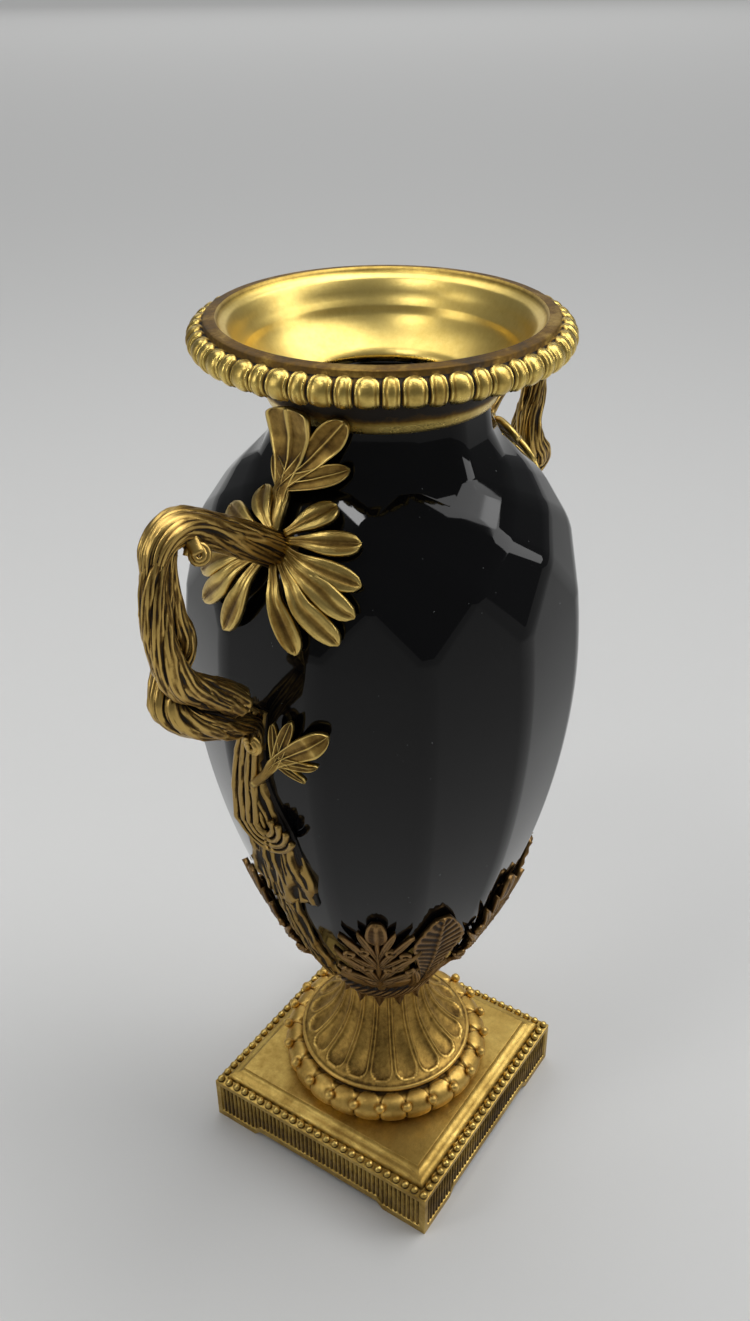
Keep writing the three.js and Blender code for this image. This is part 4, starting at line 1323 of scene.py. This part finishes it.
def addLeaflet(shape, rootTurn, rootLevel, sideways, upward, half, rootLift, tipLift, rootSpread=0.16):
    reach = smoothRadius(handle["azimuth"], rootLevel)
    steps = 18
    path = []
    for i in range(steps):
        t = mix(rootSpread, 1, i / (steps - 1))
        turn = rootTurn + degrees(sideways * t / reach)
        level = rootLevel + upward * t
        path.append((handle["azimuth"] + turn, level, mix(rootLift, tipLift, t) + 3.0 * sin(t * pi)))

    def width(t):
        neckShare = mix(0.3, 1, smooth((t - 0.05) * 1.7))
        return half * neckShare * tipRound(t, 0.7, 0.01)

    addBlade(shape, path, width, leafletRelief, 1.6, 14)


def plumeRelief(u, t):
    # hollow halves between a sharp midrib and a raised edge
    rise = smooth((t - 0.18) * 2.4)
    stem = 2.6 * sqrt(max(1 - u * u, 0)) * (1 - rise)
    return 0.9 + stem + rise * (1.3 * bump(u, 0.12) + 0.9 * u * u + 0.3 * bump(abs(u) - 0.92, 0.1))


def onPlume(azimuth, z, lift):
    # a smooth flaring surface that leaves the shoulder and rises to the rim
    slope = (along(handle["plumeReach"], z + 4) - along(handle["plumeReach"], z - 4)) / 8
    normal = polar(1, azimuth, -slope).normalized()
    return polar(along(handle["plumeReach"], z), azimuth, z) + normal * lift, normal


def addSprayLeaf(shape, stem, lobes, stemHalf, lifts, place):
    # one cast leaf: its lobes share a stem and fan out from the top of it
    for tipTurn, tipLevel, half, blunt in lobes:
        points = [(turn, level, 0) for turn, level in stem]
        points.append((mix(stem[-1][0], tipTurn, 0.5), mix(stem[-1][1], tipLevel, 0.52), 0))
        points.append((tipTurn, tipLevel, 0))
        curve = spline(points, 40)
        rootLift, tipLift = lifts
        path = []
        for i, point in enumerate(curve):
            path.append((handle["azimuth"] + point.x, point.y, mix(rootLift, tipLift, smooth(i / 32))))

        def width(t):
            return mix(stemHalf, half, smooth((t - 0.3) * 1.6)) * tipRound(t, blunt)

        addBlade(shape, path, width, plumeRelief, 1.5, 22, place)


def strapRelief(bark, seed, crown):
    # long lens-shaped hollows between wandering bark ridges
    def relief(u, t):
        edge = sqrt(max(1 - abs(u) ** 3, 0))
        coarse = abs(noise.noise(Vector((u * bark["ridges"] * 0.42, t * bark["waves"] * 0.17, seed))))
        fine = abs(noise.noise(Vector((u * bark["ridges"] * 0.95, t * bark["waves"] * 0.3, seed + 9))))
        return crown * edge - bark["depth"] * (min(coarse * 2.4, 1) + 0.45 * min(fine * 2.6, 1))
    return relief


def addStrap(shape, rows, steps, bark, seed, crown, columns):
    shares = [i / (len(rows) - 1) for i in range(len(rows))]

    def read(column, t):
        return along([[s, row[column]] for s, row in zip(shares, rows)], t)

    def width(t):
        return read(2, t) * (1 + 0.05 * sin(t * 23 + seed))

    path = []
    for i in range(steps + 1):
        t = i / steps
        path.append((handle["azimuth"] + read(0, t), levels["bodyBase"] + read(1, t) * bodyHeight, 0.6))
    addBlade(shape, path, width, strapRelief(bark, seed, crown), 0.1, columns)


def onBody(turn, z, lift):
    return onSkin(handle["azimuth"] + turn, z, lift)[0]


def addKnot(shape, centre, facing, size):
    # bark coiled inwards to the end of a cut twig
    across = facing.cross(Vector((0, 0, 1))).normalized()
    up = across.cross(facing).normalized()
    coil = []
    for i in range(34):
        reach = size * (1 - 0.022 * i)
        coil.append(centre + facing * (0.06 * i) + (across * cos(i * 0.42) + up * sin(i * 0.42)) * reach)
    addTube(shape, coil, [1.6] * len(coil), 8, 2, 9)


def makeBranches():
    def trunkRadius(t):
        return mix(9.4, 8.4, t) * (1 - 0.75 * smooth((t - 0.66) * 3))

    def outerRadius(t):
        return 6.2 + 2.2 * smooth(t * 1.6)

    def innerRadius(t):
        return 6.4 + 1.9 * sin(clamp(t * 1.15) * pi)

    branch = Shape()
    addTwist(branch, handle["trunk"], trunkRadius, 9, 0.35, 90, 1)
    addTwist(branch, handle["outer"], outerRadius, 7, 0.6, 120, 11)
    addTwist(branch, handle["inner"], innerRadius, 7, 0.9, 160, 23)
    # cut twig under the trunk's bend, and a knot coiled on the elbow
    twig = [routePoint(*p) for p in handle["twig"]]
    addTube(branch, spline(twig, 12), [4.2] * 13, 14, 3, 5)
    addKnot(branch, twig[-1], Vector((-0.66, -0.57, 0.45)), 5.2)
    addKnot(branch, routePoint(13, 150, -4), Vector((-1, 0, 0)), 5.4)
    branches = branch.toObject("branches", branchBronze)
    markRecess(branches, 7, 0.7)
    markCreviceDirtAndShade(branches, 4, 0.55)
    return branches


def makeStraps():
    strap = Shape()
    addStrap(strap, handle["wideStrap"], 90, handle["wideBark"], 1.3, 7.6, 44)
    addStrap(strap, handle["lowStrap"], 70, handle["lowBark"], 4.1, 5.6, 26)
    # hook that curls over the strap
    middle = levels["bodyBase"] + handle["hookLevel"] * bodyHeight
    for lane in range(handle["hookLanes"]):
        offset = (lane - (handle["hookLanes"] - 1) / 2) * handle["hookPitch"]
        curl = [onBody(-3.6 - offset * 0.4, middle + 62, 6.5), onBody(-6.4 - offset * 0.55, middle + 32, 7)]
        for i in range(13 - lane):
            angle = radians(178 + i * 18)
            turn = -2.3 + (6.3 + offset * 0.58) * cos(angle)
            curl.append(onBody(turn, middle + (14.0 + offset) * sin(angle), 7.2))
        addTube(strap, spline(curl, 80), [handle["hookRadius"]] * 81, 14, 2, 31 + lane)
    straps = strap.toObject("barkStraps", strapBronze)
    markRecess(straps, 9, 0.8)
    markCreviceDirtAndShade(straps, 4, 0.5)
    return straps


def makeLeaves():
    leaf = Shape()
    sprayRoot = levels["lip"] - 52
    for sideways, upward in handle["spray"]:
        for side in (-1, 1):
            addLeaflet(leaf, 0, sprayRoot, side * sideways, upward, handle["leafHalf"], 9, 4.5)
    addSprayLeaf(leaf, handle["plumeStem"], handle["plume"], 3.6, (1.5, 0), onPlume)
    addSprayLeaf(leaf, handle["sprigStem"], handle["sprig"], 2.6, (7, 5.5), onSkin)
    leaves = leaf.toObject("sprayLeaves", leafBronze)
    markRecess(leaves, 10, 1.0)
    markCreviceDirtAndShade(leaves, 6, 0.4)
    return leaves


def turnedCopy(obj, name):
    copy = obj.copy()
    copy.data = obj.data.copy()
    copy.name = name
    copy.data.transform(Matrix.Rotation(pi, 4, "Z"))
    bpy.context.scene.collection.objects.link(copy)
    return copy


def makeHandles():
    for obj in (makeBranches(), makeStraps(), makeLeaves()):
        copy = turnedCopy(obj, obj.name + "Right")
        obj.name = obj.name + "Left"
        finishPiece(obj, "handle_left")
        finishPiece(copy, "handle_right")


makeHandles()
print("handles made")


# floor, backdrop and light

studio = {
    "floorHalf": 40.0, "tone": (0.62, 0.62, 0.612), "world": (0.96, 0.98, 1.0), "worldStrength": 0.15,
    # strength, azimuth, height and spread of the wide even light, the last three in degrees
    "sky": (1.6, -35, 60, 50),
    # name, place, target, size and power of each soft light
    "lights": [
        ("overhead", (0.35, 0.65, 2.3), (0, 0, 0.4), (1.4, 1.4), 13),
        ("backSoft", (7.2, 5.2, 3.4), (0, 0, 0.2), (7.5, 5.0), 70),
        ("leftSoft", (-1.6, 1.1, 1.3), (0, 0, 0.3), (0.6, 1.1), 7),
        ("rightSoft", (1.0, -1.6, 1.3), (0, 0, 0.3), (0.6, 1.1), 7),
        ("window", (-0.62, 0.12, 1.7), (0, 0, 0.45), (0.22, 0.22), 2.2),
    ],
}


def makeBackdrop():
    material, _, _, shader = newMaterial("paleFloor")
    shader.inputs["Base Color"].default_value = (*studio["tone"], 1)
    shader.inputs["Roughness"].default_value = 0.8
    mesh = bpy.data.meshes.new("floor")
    half = studio["floorHalf"]
    corners = [(-half, -half, 0), (half, -half, 0), (half, half, 0), (-half, half, 0)]
    mesh.from_pydata(corners, [], [(0, 1, 2, 3)])
    addObject("floor", mesh, material)


def addLight(name, place, target, size, power):
    data = bpy.data.lights.new(name, "AREA")
    data.shape = "RECTANGLE"
    data.size, data.size_y = size
    data.energy = power
    obj = bpy.data.objects.new(name, data)
    obj.location = place
    obj.rotation_euler = (Vector(target) - Vector(place)).to_track_quat("-Z", "Y").to_euler()
    bpy.context.scene.collection.objects.link(obj)


def addSky(strength, azimuth, rise, spread):
    # one wide, even light that keeps the whole floor the same grey
    data = bpy.data.lights.new("sky", "SUN")
    data.energy = strength
    data.angle = radians(spread)
    obj = bpy.data.objects.new("sky", data)
    toLight = polar(cos(radians(rise)), azimuth, sin(radians(rise)))
    obj.rotation_euler = (-toLight).to_track_quat("-Z", "Y").to_euler()
    bpy.context.scene.collection.objects.link(obj)


def makeLight():
    world = bpy.data.worlds.new("studio")
    bpy.context.scene.world = world
    world.use_nodes = True
    background = world.node_tree.nodes["Background"]
    background.inputs[0].default_value = (*studio["world"], 1)
    background.inputs[1].default_value = studio["worldStrength"]
    addSky(*studio["sky"])
    for light in studio["lights"]:
        addLight(*light)


makeBackdrop()
makeLight()
bpy.context.scene.view_settings.view_transform = "Standard"
print("studio made")

print("finished")
